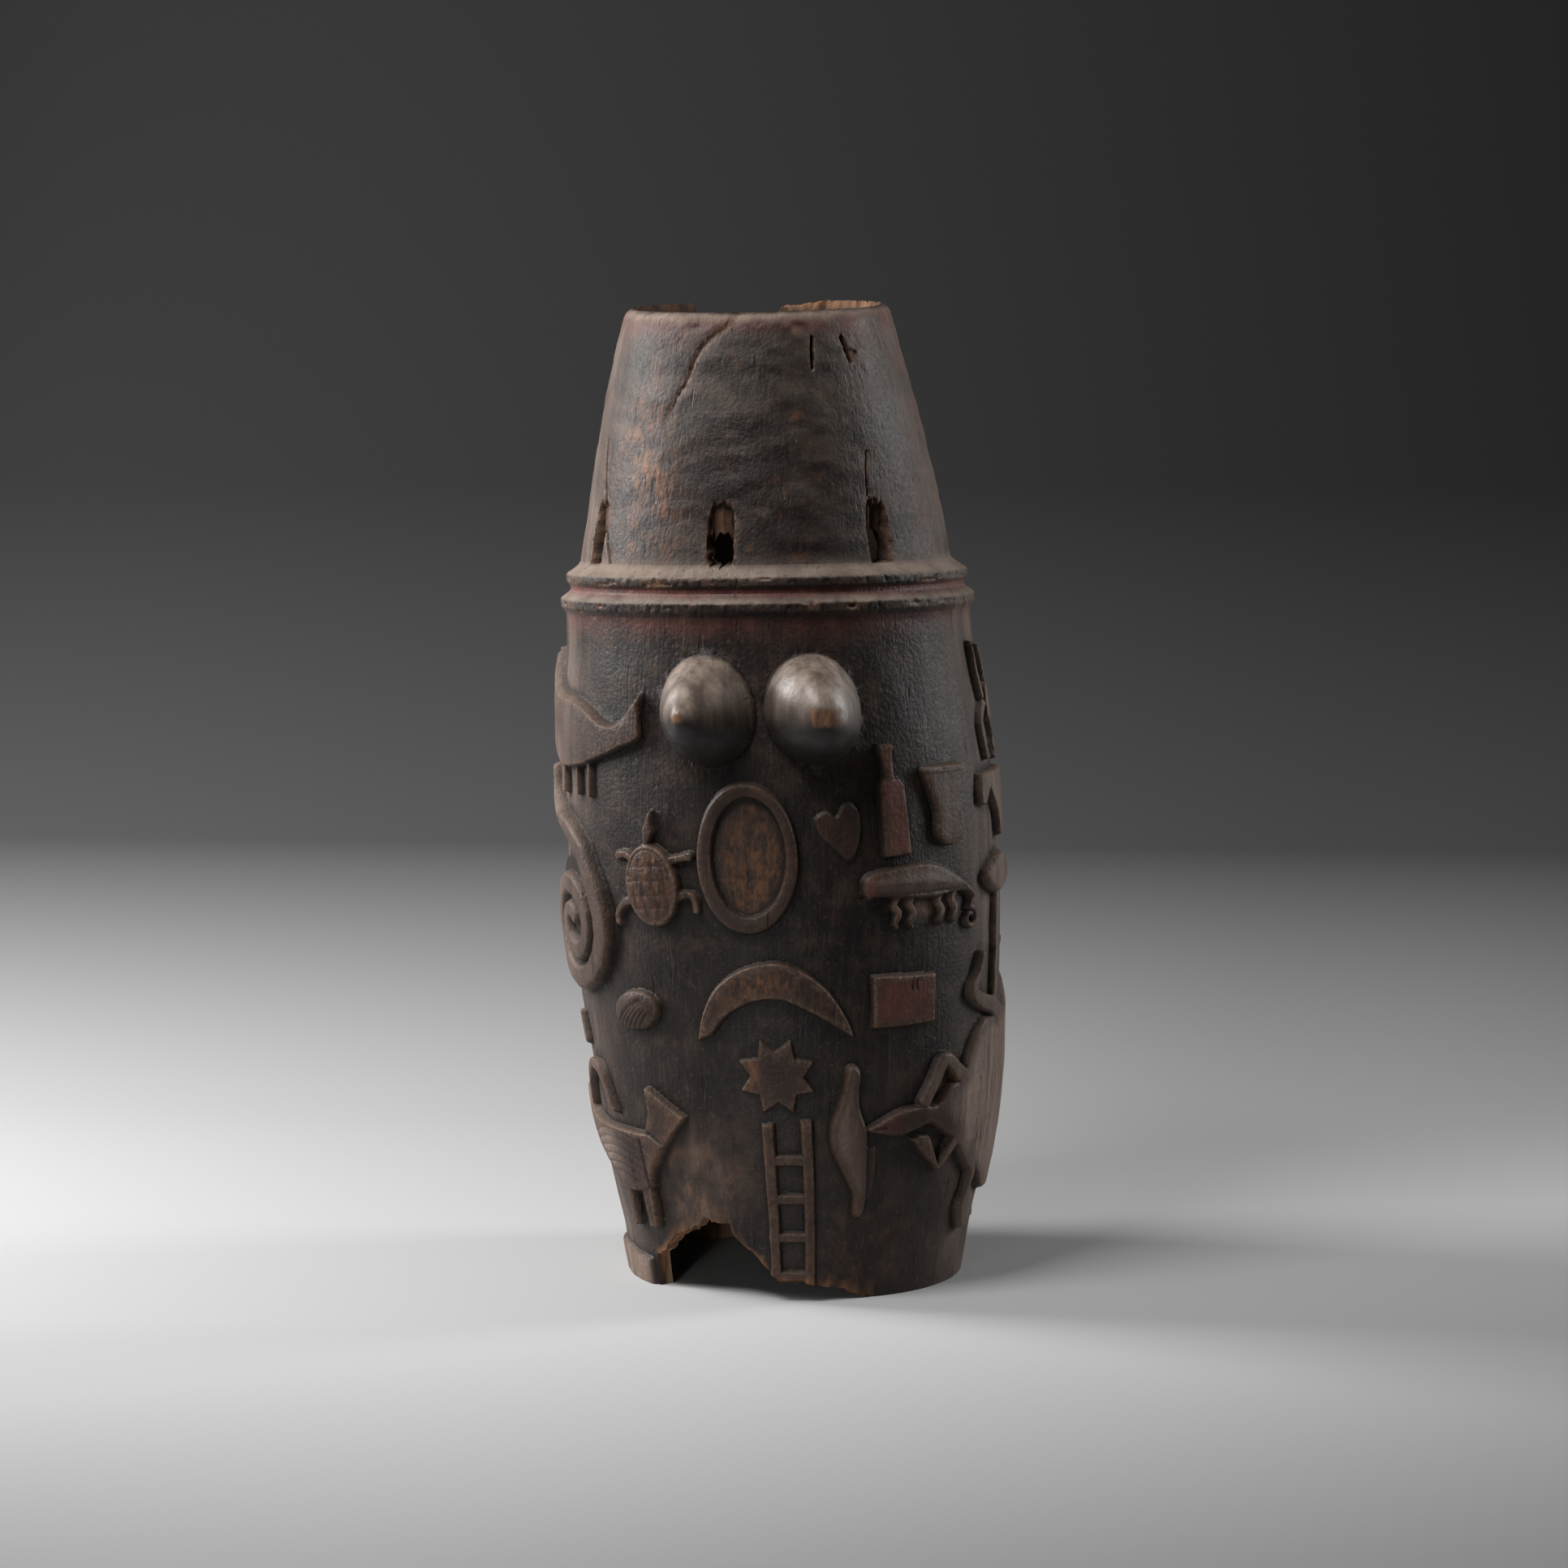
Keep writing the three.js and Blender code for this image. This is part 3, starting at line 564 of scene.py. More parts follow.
def crescent():
    p = Patch(0.4, 335, 110, 65)
    top = curve([(-21.2, 292), (-19.2, 322), (-15, 352), (-8, 374), (0.5, 382.5), (7.3, 375),
                 (14.4, 351), (19.4, 318), (21, 297)], 5)
    foot = curve([(14.4, 315), (6.2, 334), (0.9, 341), (-5, 338), (-11.7, 324), (-16.8, 300)], 5)
    inside = p.outline(top + foot)
    p.lift(inside, 9, 5)
    p.rub_edge(inside, 0.9, narrow=3)
    p.stain("orange", smoothstep(2, 10, inside) * smoothstep(-70, -20, p.u) * smoothstep(35, -10, p.u) * 0.75)
    p.dirt_beside(inside, 0.6, first=-6)


def star_points(az, z, outer, inner, count, first):
    step = float(outer_radius(z)) * DEG
    points = []
    for i in range(count * 2):
        radius = inner if i % 2 else outer
        angle = (first + i * 180 / count) * DEG
        points.append((az + radius * math.cos(angle) / step, z + radius * math.sin(angle)))
    return points


def low_star():
    p = Patch(-0.2, 255.5, 60, 60)
    inside = p.outline(star_points(-0.2, 255.5, 44, 29, 8, 22.5))
    p.lift(inside, 4.8, 3)
    p.stain("orange", smoothstep(0, 4, inside) * smoothstep(-14, -28, p.u) * 0.7)
    p.rub_edge(inside, 0.6, outer=1.5, wide=5)


def ladder(az, low, high, gap, rungs, half=6.5, height=7.5):
    p = Patch(az, (low + high) / 2, 60, (high - low) / 2 + 12)
    left = p.stroke([(az + 0.9 - gap / 2, low, half), (az - gap / 2, high, half)], flat=True)
    right = p.stroke([(az + 1 + gap / 2, low, half), (az + gap / 2, high + 4, half)], flat=True)
    inside = np.maximum(left, right)
    pitch = (high - low) / (rungs + 0.4)
    for i in range(rungs):
        z = high - pitch * (i + 0.93)
        rung = p.stroke([(az - gap / 2 + 0.2, z, half - 0.5), (az + gap / 2 + 0.5, z, half - 0.5)])
        p.lift(rung, height - 1, 4)
        inside = np.maximum(inside, rung)
    p.lift(np.maximum(left, right), height, 4.5)
    p.rub_edge(inside, 0.6, outer=1.5, wide=5)
    p.dirt_beside(inside, 0.5, first=-5)


def cockle():
    p = Patch(-40.4, 319, 50, 40)
    inside, out, x, y = p.oval(-40.4, 319, 34, 22.5, 14)
    p.raise_to(shoulder(inside, 8, 5) + np.clip(1 - out ** 2, 0, 1) * 6)
    for k in range(6):
        bow = y - 0.75 * (x + 33 - k * 8.5) + 0.006 * (x + 33 - k * 8.5) ** 2 + 12
        p.cut(line(1.7 - np.abs(bow) * 0.72, 1.7) * (inside > 1.5) * (x < 14 + k) * 1.9)
    p.tint("worn", inside, 1, 5, 0.2)


def pincers():
    p = Patch(-68, 212, 60, 50)
    right = p.stroke(curve([(-70, 243, 6.5), (-64, 240, 7.5), (-60.6, 222, 5.5), (-57, 197, 3)], 4))
    left = p.stroke(curve([(-70, 243, 6.5), (-75, 226, 7), (-77.5, 198, 5), (-79, 180, 3)], 4))
    p.lift(np.maximum(right, left), 9, 5)
    p.stain("worn", smoothstep(2, 6, np.maximum(right, left)) * 0.6)
    slot = p.stroke([(-69.2, 228, 4.5), (-68, 190, 4)])
    p.tint("groove", slot, -3, 1)


def small_wedge():
    p = Patch(-75, 282, 25, 30)
    p.lift(p.stroke([(-75, 296, 5), (-74, 268, 7)]), 7, 5)


def lower_bird():
    p = Patch(-58, 150, 130, 110)
    body = p.rounded([
        (-88, 212), (-80, 195), (-69.7, 182), (-60, 181), (-51.7, 180.5), (-44.7, 180.5), (-40.5, 180),
        (-36.1, 168.5), (-38.4, 152), (-40.3, 143), (-42.2, 130), (-43, 118), (-46.5, 112), (-52, 108),
        (-57, 108), (-60.5, 117), (-65.6, 133), (-72, 150), (-80, 172), (-90, 196),
    ])
    tail = p.outline([(-41.2, 233), (-39.6, 232), (-27.4, 204), (-28.2, 200), (-36, 166), (-40.5, 160),
                      (-43.5, 176), (-40.6, 205)])
    p.lift(tail, 9.5, 4)
    p.lift(body, 11, 7)
    p.cut(p.scored([(-41.5, 181), (-36.4, 170)], 2, 2) * 2)
    for az, low, half in [(-46.3, 71, 8.5), (-56, 68, 5.5)]:
        leg = p.stroke([(az, 118, half + 1), (az + 0.3, low, half)], flat=True)
        p.lift(leg, 9, 4)
        p.rub_edge(leg, 0.7, wide=6, narrow=3)
    for k in range(6):
        bow = p.v - (26 - k * 9.5) + 0.0042 * (p.u + 8) ** 2 - 0.05 * (p.u + 8)
        p.cut(line(1.3 - np.abs(bow), 1.3) * (body > 4) * (p.u < 62 - k * 5) * 1.5)
    split = p.stroke([(-44.9, 171, 0.3), (-43.7, 118, 0.8), (-43, 70, 1.2), (-45.4, 55, 0.4)])
    p.cut(smoothstep(-1.5, 0.2, split) * 3.5)
    p.rub_edge(np.maximum(body, tail), 0.6, outer=2.5, wide=8, narrow=3)
    # Pale grey wood, and painted light towards the bird's left, where the left lamp falls
    p.stain("pale", smoothstep(2, 12, body) * smoothstep(30, -40, p.u) * 1.1)


def foot_ring():
    path = [(-51 - i * 16, 13 + (3 if i else 0), 19 if i else 16) for i in range(12)]
    p = Patch(-51 - 88, 20, 720, 60)
    rough = lattice(220, 60, 43)[p.where]
    inside = p.stroke(path) + rough * 1.6
    near = p.az + p.u / p.step
    inside = np.minimum(inside, (-52.5 - near) * p.step + rough * 2)
    p.lift(inside, 5.5, 8)
    p.tint("pale", inside, 0, 6)
    p.tint("worn", inside, 5, 14)
    p.dirt_beside(inside, 0.8, first=-7, last=-1)


def back_figures():
    """Plainer figures on the side that turns away."""
    for az, z, size in ((128, 500, 1), (-136, 330, 0.9)):
        p = Patch(az, z, 80, 120)
        body = p.stroke(curve([
            (az, z + 76 * size, 7), (az, z + 62 * size, 12 * size), (az, z + 24 * size, 14 * size),
            (az, z - 22 * size, 14 * size), (az + 1, z - 56 * size, 6), (az + 5, z - 98 * size, 3)], 4))
        for side, root, reach in ((1, 34, 24), (-1, 34, 24), (1, -26, -22), (-1, -26, -22)):
            limb = p.stroke([(az + side * 1.5, z + root * size, 5),
                             (az + side * 9 * size, z + (root + reach) * size, 4.5)])
            p.lift(limb, 6, 4)
        p.lift(body, 9, 9)
        p.tint("worn", body, 6, 12, 0.5)
    ladder(-164, 400, 540, 10, 4, 5.5, 6)
    shapes = [
        (176, 600, 60, 60, lambda p: p.outline(star_points(176, 600, 39, 26, 8, 0)), 5, 3),
        (164, 318, 80, 50, lambda p: p.stroke(curve([(150, 318, 24), (154, 318, 8), (162, 320, 20),
                                                     (171, 321, 18), (179, 318, 5)], 5)), 9, 8),
        (158, 150, 60, 90, lambda p: np.maximum(
            p.stroke([(158, 90, 7), (158, 212, 6)], flat=True),
            p.outline([(151, 196), (151, 232), (164, 222), (164, 206)])), 9, 4),
        (-126, 590, 90, 60, lambda p: p.stroke(curve([(-112, 560, 10), (-118, 596, 22), (-126, 600, 24),
                                                      (-134, 585, 12), (-141, 600, 16)], 5)), 9, 7),
        (-163, 200, 80, 50, lambda p: p.stroke(curve([(-150, 205, 18), (-157, 197, 24), (-168, 197, 24),
                                                      (-175, 205, 18)], 4)), 8, 7),
        (-103, 175, 50, 100, lambda p: p.stroke(curve([(-104, 250, 5), (-100, 210, 5), (-106, 170, 5),
                                                       (-101, 130, 5), (-107, 96, 3)], 6)), 7, 4.5),
        (-165, 88, 70, 40, lambda p: p.stroke(curve([(-176, 90, 9), (-170, 84, 13), (-160, 84, 13),
                                                     (-154, 90, 9)], 4)), 7, 6),
        (-104, 345, 40, 45, lambda p: p.oval(-104, 345, 24, 30)[0], 8, 8),
        (185, 420, 50, 80, lambda p: p.stroke(curve([(186, 470, 11), (184, 440, 14), (186, 410, 11),
                                                     (186, 366, 4)], 5)), 8, 6),
    ]
    for az, z, wide, tall, shape, height, edge in shapes:
        p = Patch(az, z, wide, tall)
        inside = shape(p)
        p.lift(inside, height, edge)
        p.rub_edge(inside, 0.5)


def neck_damage():
    """The split that runs down from the rim, with chipped edges, and the small slits beside it."""
    p = Patch(-12, 1020, 110, 75)
    path = curve([(-2, 1084, 7), (-8, 1063, 3.5), (-15.4, 1048, 2.8), (-20.5, 1029, 2.2),
                  (-23.5, 1003, 1.5), (-27, 985, 0.7), (-29.8, 967, 0.2)], 4)
    rough = lattice(700, 260, 51)[p.where]
    inside = p.stroke(path) + rough * 1.6
    p.cut(smoothstep(-2, 2.5, inside) * 2.2 + smoothstep(-9, 0, inside) * 0.7)
    p.stain("fresh", smoothstep(-1, 1.5, inside) * smoothstep(5, 1.5, inside) * 0.5)
    p.tint("orange", inside, -4, 0, 0.7)
    p.tint("dark", inside, 2, 4, 0.3)
    slits = [
        ([(26.9, 1047, 1.6), (25.6, 1014, 1.2)], 8), ([(40.5, 1046, 2.2), (43.2, 1020, 2.5)], 7),
        ([(42.6, 922, 0.4), (41.2, 900, 1.0), (40.2, 872, 0.7)], 4),
        ([(-64.5, 935, 0.6), (-58, 860, 1.4), (-51, 800, 1.2)], 7),
    ]
    for slit, depth in slits:
        az, z = slit[len(slit) // 2][:2]
        p = Patch(az, z, 60, 95)
        inside = p.stroke(slit) + lattice(900, 160, 52)[p.where] * 0.5
        p.cut(smoothstep(-1.2, 0.6, inside) * depth)
        p.tint("orange", inside, -5, -1, 0.5)
        p.tint("groove", inside, -1.5, 0.5)
    p = Patch(43, 1030, 50, 40)
    chip = p.oval(44, 1027, 9, 8)[0] + lattice(500, 200, 53)[p.where] * 2
    p.cut(smoothstep(0, 3, chip) * 2)
    p.tint("fresh", chip, 0, 2)


def peg_slots():
    """The torn upper part of each slot. The hole at its foot is cut after."""
    rough = lattice(1100, 150, 61)
    for i in range(SLOT_COUNT):
        az = (SLOT_FIRST + i * 360 / SLOT_COUNT + 180) % 360 - 180
        p = Patch(az, SLOT_Z + 17, 50, 60)
        lean = 0.03 * p.v
        width = np.interp(p.v, [-34, -15, 8, 26, 38], [13.5, 15.5, 15.5, 14.5, 10])
        inside = width - np.abs(p.u - lean) + rough[p.where] * 1.5
        inside = np.minimum(inside, 36 - p.v + rough[p.where] * 5)
        inside = np.minimum(inside, p.v + 36)
        fibres = 1.6 * lattice(1200, 24, 62)[p.where]
        depth = np.interp(p.v, [-36, -10, 10, 36], [16, 14, 10, 5]) + fibres
        p.cut(smoothstep(0, 4, inside) * depth)
        p.stain("fresh", smoothstep(0, 5, inside) * smoothstep(-36, 5, p.v) * 0.8)
        p.tint("orange", inside, -5, 0, 0.5)
        # Painted shade, deepest near the hole at the slot's foot
        p.stain("dark", smoothstep(2, 8, inside) * (0.45 + 0.55 * smoothstep(5, -20, p.v)))


def collars():
    """Nicked, worn crests, red in the groove and under the lower collar, and a pale upper ledge."""
    z = HEIGHTS[:, None]
    nick = lattice(430, 240, 71)
    knock = lattice(90, 180, 72)
    on_ring = band(z, 742, 750, 758, 764) + band(z, 774, 778, 788, 795)
    relief[:] -= on_ring * (smoothstep(0.25, 0.9, nick) * 1.3 + smoothstep(0.45, 0.9, knock) * 2.4)
    stain_skin("worn", on_ring * np.clip(0.35 + knock * 0.9, 0, 1))
    stain_skin("orange", on_ring * smoothstep(0.3, 0.8, knock))
    red = band(z, 761, 766, 772, 776) + band(z, 715, 738, 741, 747) * 0.45
    stain_skin("red", np.clip(red, 0, 1) * (0.8 + 0.2 * knock))
    stain_skin("pale", band(z, 786, 792, 799, 812) * 0.6)


def skin_unevenness():
    """Adze marks across the neck, an uneven belly and a worn rim."""
    z = HEIGHTS[:, None]
    neck = smoothstep(800, 830, z)
    belly = smoothstep(735, 700, z)
    relief[:] += neck * (lattice(26, 46, 81) * 0.6 + lattice(70, 110, 82) * 0.4)
    relief[:] += belly * (lattice(22, 14, 83) * 1.0 + lattice(64, 40, 84) * 0.5)
    relief[:] += lattice(11, 9, 85) * 1.1 * (neck + belly)
    rim = smoothstep(1045, 1075, z)
    relief[:] -= rim * (np.abs(lattice(80, 90, 86)) * 1.2 + smoothstep(0.5, 0.9, lattice(34, 60, 87)) * 2.5)


def blur(field, radius):
    """Box blur, round the log and up it."""
    size = 2 * radius + 1
    wide = np.concatenate([field[:, -radius - 1:], field, field[:, :radius]], axis=1)
    total = np.cumsum(wide, axis=1)
    field = (total[:, size:] - total[:, :-size]) / size
    tall = np.concatenate([np.repeat(field[:1], radius + 1, axis=0), field,
                           np.repeat(field[-1:], radius, axis=0)], axis=0)
    total = np.cumsum(tall, axis=0)
    return (total[size:] - total[:-size]) / size


def dirt_and_wear():
    """Dirt gathers in the hollows of the carving, and its edges are worn."""
    around = relief - blur(blur(relief, 4), 4)
    red_groove = band(HEIGHTS[:, None], 758, 764, 774, 780)
    dirt = np.clip(np.maximum(stains["groove"] * 0.8, -around * 0.55), 0, 1)
    stains["groove"][:] = dirt * (1 - red_groove)
    stains["worn"][:] = np.clip(stains["worn"] * 0.5 + np.maximum(around - 0.4, 0) * 0.17, 0, 1)


def large_stains():
    """The stains that spread over the whole skin: red and orange on the neck, painted shade down its middle,
    pale at the sides that is partly painted light, and a painted highlight on the rim's lip.
    """
    z, angle = HEIGHTS[:, None], ANGLES[None, :]
    side = np.abs(angle)
    uneven = lattice(60, 80, 92) + 0.6 * lattice(160, 220, 93)
    red = np.clip(lattice(40, 60, 91) * 0.8 + 0.1, 0, 1)
    neck_red = red * (z > 800) * (0.15 + 0.5 * smoothstep(28, 50, angle))
    stain_skin("red", smoothstep(1040, 1070, z) * 0.55 + neck_red)
    neck_left = smoothstep(75, 10, np.hypot((angle + 37) * 3.2 + (z - 880) * 0.22, (z - 890) * 0.45))
    stain_skin("orange", neck_left * smoothstep(-0.5, 0.5, uneven))
    flecks = smoothstep(0.62, 0.85, lattice(150, 210, 95)) * (z > 800) * smoothstep(70, 20, side)
    stain_skin("orange", flecks * 0.8)
    low_right = smoothstep(70, 10, np.hypot((angle - 28) * 3.4, z - 62)) * smoothstep(0, 0.8, uneven)
    stain_skin("orange", low_right * 0.55)
    low_left = smoothstep(80, 10, np.hypot((angle + 27) * 3.8, (z - 130) * 0.8))
    stain_skin("pale", low_left * (0.26 + 0.22 * uneven))
    stain_skin("orange", low_left * smoothstep(-0.3, 0.6, uneven) * 0.5)
    # Painted shade down the middle of the neck, where the side lights leave it dark
    middle = smoothstep(62, 22, np.abs(angle - 14)) * smoothstep(785, 800, z) * smoothstep(1066, 1050, z)
    stain_skin("dark", middle * (0.72 + 0.28 * uneven))
    edge = foot_edge(ANGLES)[None, :]
    stain_skin("fresh", smoothstep(6, 1, z - edge + 5 * uneven) * (edge > 1) * 0.8)
    # Pale at the sides: partly grey dust and partly painted light, where the side lamps graze the log
    turned = smoothstep(48, 78, side) * (1 - 0.75 * smoothstep(100, 135, side))
    stain_skin("pale", turned * (0.48 + 0.25 * lattice(30, 24, 94)))
    # Painted highlight along the front of the rim's lip, which also takes back some of its red
    lip = smoothstep(1062, 1072, z) * smoothstep(90, 60, side)
    stain_skin("pale", lip * (0.9 + 0.3 * uneven))
    stains["red"][:] *= 1 - 0.6 * lip


def carve():
    """Fills the relief and the stains."""
    for figure in (mirror, turtle, snake, upper_bird, heart, bottle, foot_form, tongs, trousers, chameleon,
                   club, tablet, creature, gourd_fish, crescent, low_star, cockle, pincers, small_wedge,
                   lower_bird, foot_ring, back_figures):
        figure()
    ladder(1.9, 8, 203, 10.7, 4)
    collars()
    skin_unevenness()
    neck_damage()
    peg_slots()
    dirt_and_wear()
    large_stains()


def sample(field, azimuth, z):
    """Bilinear reading of a field at skin places."""
    across = (azimuth + 180) / 360 * COLUMNS
    i = np.floor(across).astype(int)
    s = across - i
    up = np.clip(z, 0, ROWS - 1.001)
    j = up.astype(int)
    t = up - j
    i0, i1 = i % COLUMNS, (i + 1) % COLUMNS
    return ((field[j, i0] * (1 - s) + field[j, i1] * s) * (1 - t)
            + (field[j + 1, i0] * (1 - s) + field[j + 1, i1] * s) * t)


# The mesh
def finished(bm, name):
    """Turns a bmesh into a mesh of that name."""
    mesh = bpy.data.meshes.new(name)
    bm.to_mesh(mesh)
    bm.free()
    return mesh


def linked(name, data):
    """An object at the origin that holds the given data."""
    thing = bpy.data.objects.new(name, data)
    bpy.context.scene.collection.objects.link(thing)
    return thing


def spun_tube():
    """A coarse tube: height up the outside, over the rim, down the inside. `wall` is 1 outside, 0 inside."""
    below, collar, neck = np.linspace(0, 738, 32), np.linspace(738, 802, 6), np.linspace(802, 1066, 9)
    outside = [*below, *collar[1:], *neck[1:], TOP]
    inside = [TOP, 1040, 840, 560, 280, 60, 0]
    bm = bmesh.new()
    wall = bm.verts.layers.float.new("wall")
    chain = []
    for heights, radius, side in ((outside, 240, 1.0), (inside, 200, 0.0)):
        for z in heights:
            vertex = bm.verts.new((0, -radius, z))
            vertex[wall] = side
            chain.append(vertex)
    edges = [bm.edges.new((a, b)) for a, b in zip(chain, chain[1:] + chain[:1])]
    bmesh.ops.spin(bm, geom=chain + edges, cent=(0, 0, 0), axis=(0, 0, 1), angle=2 * math.pi,
                   steps=TUBE_STEPS, use_merge=True)
    bmesh.ops.recalc_face_normals(bm, faces=bm.faces)
    return finished(bm, "drum_tube")


def applied(thing):
    """The object's mesh with its modifiers applied."""
    ready = thing.evaluated_get(bpy.context.evaluated_depsgraph_get())
    mesh = bpy.data.meshes.new_from_object(ready)
    old = thing.data
    thing.modifiers.clear()
    thing.data = mesh
    bpy.data.meshes.remove(old)
    return mesh


def read(items, what, kind, width=1):
    """One property of all vertices, faces or corners as an array."""
    values = np.empty(len(items) * width, dtype=kind)
    items.foreach_get(what, values)
    return values.reshape(-1, width) if width > 1 else values


def places(mesh):
    """Every vertex's place, in metres."""
    return read(mesh.vertices, "co", np.float32, 3).astype(float)


def put(mesh, co):
    """Moves every vertex to its place, in metres."""
    mesh.vertices.foreach_set("co", co.astype(np.float32).ravel())


def breast_ellipse(shape, azimuth, z):
    """Places across and up a breast, measured from its middle, with its root at 1."""
    step = float(outer_radius(shape["z"])) * DEG
    return (azimuth - shape["az"]) * step / shape["rx"], (z - shape["z"]) / shape["rz"]


def breast_axis(shape):
    """Middle of a breast's root, the way it points, and how far out its worn tip lies."""
    middle = skin_point(np.array(shape["az"]), np.array(shape["z"]), outer_radius(shape["z"]))
    angle = (shape["az"] + shape["lean"]) * DEG
    outward = np.array([math.sin(angle), -math.cos(angle), 0.0])
    far = shape["reach"] + shape["nipple"] * (1 - shape["tip"] / NIPPLE_WIDTH) - shape["tip"] * TIP_WEAR
    return middle, outward, far


def breast_place(azimuth, z, base, shape):
    """Draws the skin inside the root of a breast out into a full rounded form."""
    middle, outward, far = breast_axis(shape)
    a, b = breast_ellipse(shape, azimuth, z)
    u = np.hypot(a, b)
    inside = u < 1
    u, a, b = u[inside], a[inside], b[inside]
    # Even steps along the rounded side, from the tip (0) to the root (1)
    s_table = np.sin(np.linspace(0, math.pi / 2, 200))
    f_table = (1 - s_table ** 1.9) ** (1 / shape["full"])
    steps = np.hypot(np.diff(s_table) * shape["rx"], np.diff(f_table) * shape["reach"])
    arc = np.concatenate([[0], np.cumsum(steps)])
    s = np.interp(u * arc[-1], arc, s_table)
    f = np.interp(u * arc[-1], arc, f_table)
    step = float(outer_radius(shape["z"])) * DEG
    root_az = shape["az"] + a / np.maximum(u, 1e-6) * shape["rx"] / step
    root_z = shape["z"] + b / np.maximum(u, 1e-6) * shape["rz"]
    root = skin_point(root_az, root_z, outer_radius(root_z))
    reach = f * shape["reach"]
    reach += shape["nipple"] * np.clip(1 - s / NIPPLE_WIDTH, 0, 1) ** 1.3
    torn = np.sin(a * 190 + b * 40) * 0.35 + np.sin(b * 120 - a * 60) * 0.3
    reach = np.where(reach > far, far + torn, reach)
    base[inside] = middle + (root - middle) * s[:, None] + outward * reach[:, None]


def breast_tip(shape):
    """Where the worn tip lies, in millimetres in the frame."""
    middle, outward, far = breast_axis(shape)
    return middle + far * outward + FOOT


def foot_and_rim(azimuth, z, rough):
    """Draws the rows near the broken foot and rim up or down to the ragged edges."""
    low = foot_edge(azimuth) + rough * 3.0 * (foot_edge(azimuth) > 1)
    z = np.where(z < FOOT_HOLD, low + z * (FOOT_HOLD - low) / FOOT_HOLD, z)
    high = rim_edge(azimuth)
    high = high + rough * 3.5 * (high < TOP - 1)
    return np.where(z > RIM_HOLD, RIM_HOLD + (z - RIM_HOLD) * (high - RIM_HOLD) / (TOP - RIM_HOLD), z)


def splinters(wall, azimuth, z):
    """Fine and coarse unevenness of the broken edges, which differs through the wall."""
    column = ((azimuth + 180) / 360 * COLUMNS).astype(int) % COLUMNS
    fine = lattice(420, 50, 101)[(wall * 9 + 2).astype(int), column] * 0.5
    fine = np.where(z > MID_HEIGHT, fine * 0.3, fine)
    return fine + lattice(110, 50, 102)[(wall * 5 + 9).astype(int), column] * 0.6


def laid_on_log(mesh):
    """Moves every vertex of the subdivided tube to its place on the carved log."""
    co = places(mesh)
    wall = read(mesh.attributes["wall"].data, "value", np.float32).astype(float)
    turn = np.arctan2(co[:, 0], -co[:, 1])
    azimuth = (turn - FRONT_CLOSER * np.sin(turn)) / DEG
    z = foot_and_rim(azimuth, co[:, 2], splinters(wall, azimuth, co[:, 2]))
    outer = skin_point(azimuth, z, outer_radius(z) + sample(relief, azimuth, z))
    for shape in BREASTS.values():
        breast_place(azimuth, z, outer, shape)
    gouge = sample(lattice(240, 7, 103), azimuth, z) * 0.8 + sample(lattice(70, 9, 104), azimuth, z) * 2.0
    inner = skin_point(azimuth, z, inner_radius(z) + gouge)
    across_wall = inner + (outer - inner) * wall[:, None]
    end = (wall > 0.02) & (wall < 0.98)
    lump = sample(lattice(150, 60, 105), azimuth, wall * 300)
    far_rim = np.where(np.abs(azimuth) > FAR_RIM, 2.4, 0.6)
    across_wall[:, 2] += np.where(end & (z > 900), lump * far_rim, 0)
    across_wall[:, 2] += np.where(end & (z < 200) & (foot_edge(azimuth) > 1), lump * 3, 0)
    across_wall[:, 2] = np.maximum(across_wall[:, 2], 0)
    put(mesh, (across_wall + FOOT) * MM)
    mesh.update()


def slot_cutters():
    """Leaf-shaped plugs through the wall at the foot of each peg slot."""
    bm = bmesh.new()
    for i in range(SLOT_COUNT):
        angle = (SLOT_FIRST + i * 360 / SLOT_COUNT) * DEG
        made = bmesh.ops.create_cone(bm, cap_ends=True, segments=18, radius1=HOLE_HALF,
                                     radius2=HOLE_HALF + 2.5, depth=70)
        for vertex in made["verts"]:
            x, y, z = vertex.co
            tall = y * 1.15 + BACK_SLOT_RISE if i in BACK_SLOTS else y * 1.5 - 2
            turn = math.atan2(y, x)
            rough = 1 + 0.09 * math.sin(7 * turn + i * 2) + 0.05 * math.sin(11 * turn + i)
            radius = HOLE_CIRCLE - z
            side = x * rough
            tilt_x, tilt_y = radius * math.sin(angle) * RING_TILT_X, radius * math.cos(angle) * RING_TILT_Y
            vertex.co = (radius * math.sin(angle) + side * math.cos(angle) + float(drift(SLOT_Z)) + FOOT_X,
                         -radius * math.cos(angle) + side * math.sin(angle) + FOOT_Y,
                         HOLE_Z + tall * rough + tilt_x + tilt_y + (HOLE_CIRCLE - radius) * HOLE_SLANT)
    bmesh.ops.recalc_face_normals(bm, faces=bm.faces)
    bmesh.ops.scale(bm, vec=(MM, MM, MM), verts=bm.verts)
    return finished(bm, "slot_cutters")


def skin_place(co):
    """Azimuth, height and how far out from the plain skin each point lies."""
    x = co[:, 0] / MM - FOOT_X
    y = co[:, 1] / MM - FOOT_Y
    z = co[:, 2] / MM
    flat = z.copy()
    for _ in range(3):
        flat = z - (x - drift(flat)) * slope_x(flat) - y * slope_y(flat)
    x = x - drift(flat)
    azimuth = np.arctan2(x, -y) / DEG
    return azimuth, flat, np.hypot(x, y) - outer_radius(flat)


def torn_patch(shape, co):
    """The fibrous pale patch on a worn breast tip."""
    away = co / MM - breast_tip(shape)
    half_wide, half_tall = shape["patch"]
    grain = np.sin(away[:, 0] * 2.3) * 0.12 + np.sin(away[:, 0] * 0.9 + away[:, 2] * 0.4) * 0.12
    edge = np.maximum(np.abs(away[:, 0]) / half_wide, np.abs(away[:, 2]) / half_tall) + grain
    return smoothstep(1.1, 0.9, edge) * (np.linalg.norm(away, axis=1) < 30) * 0.85


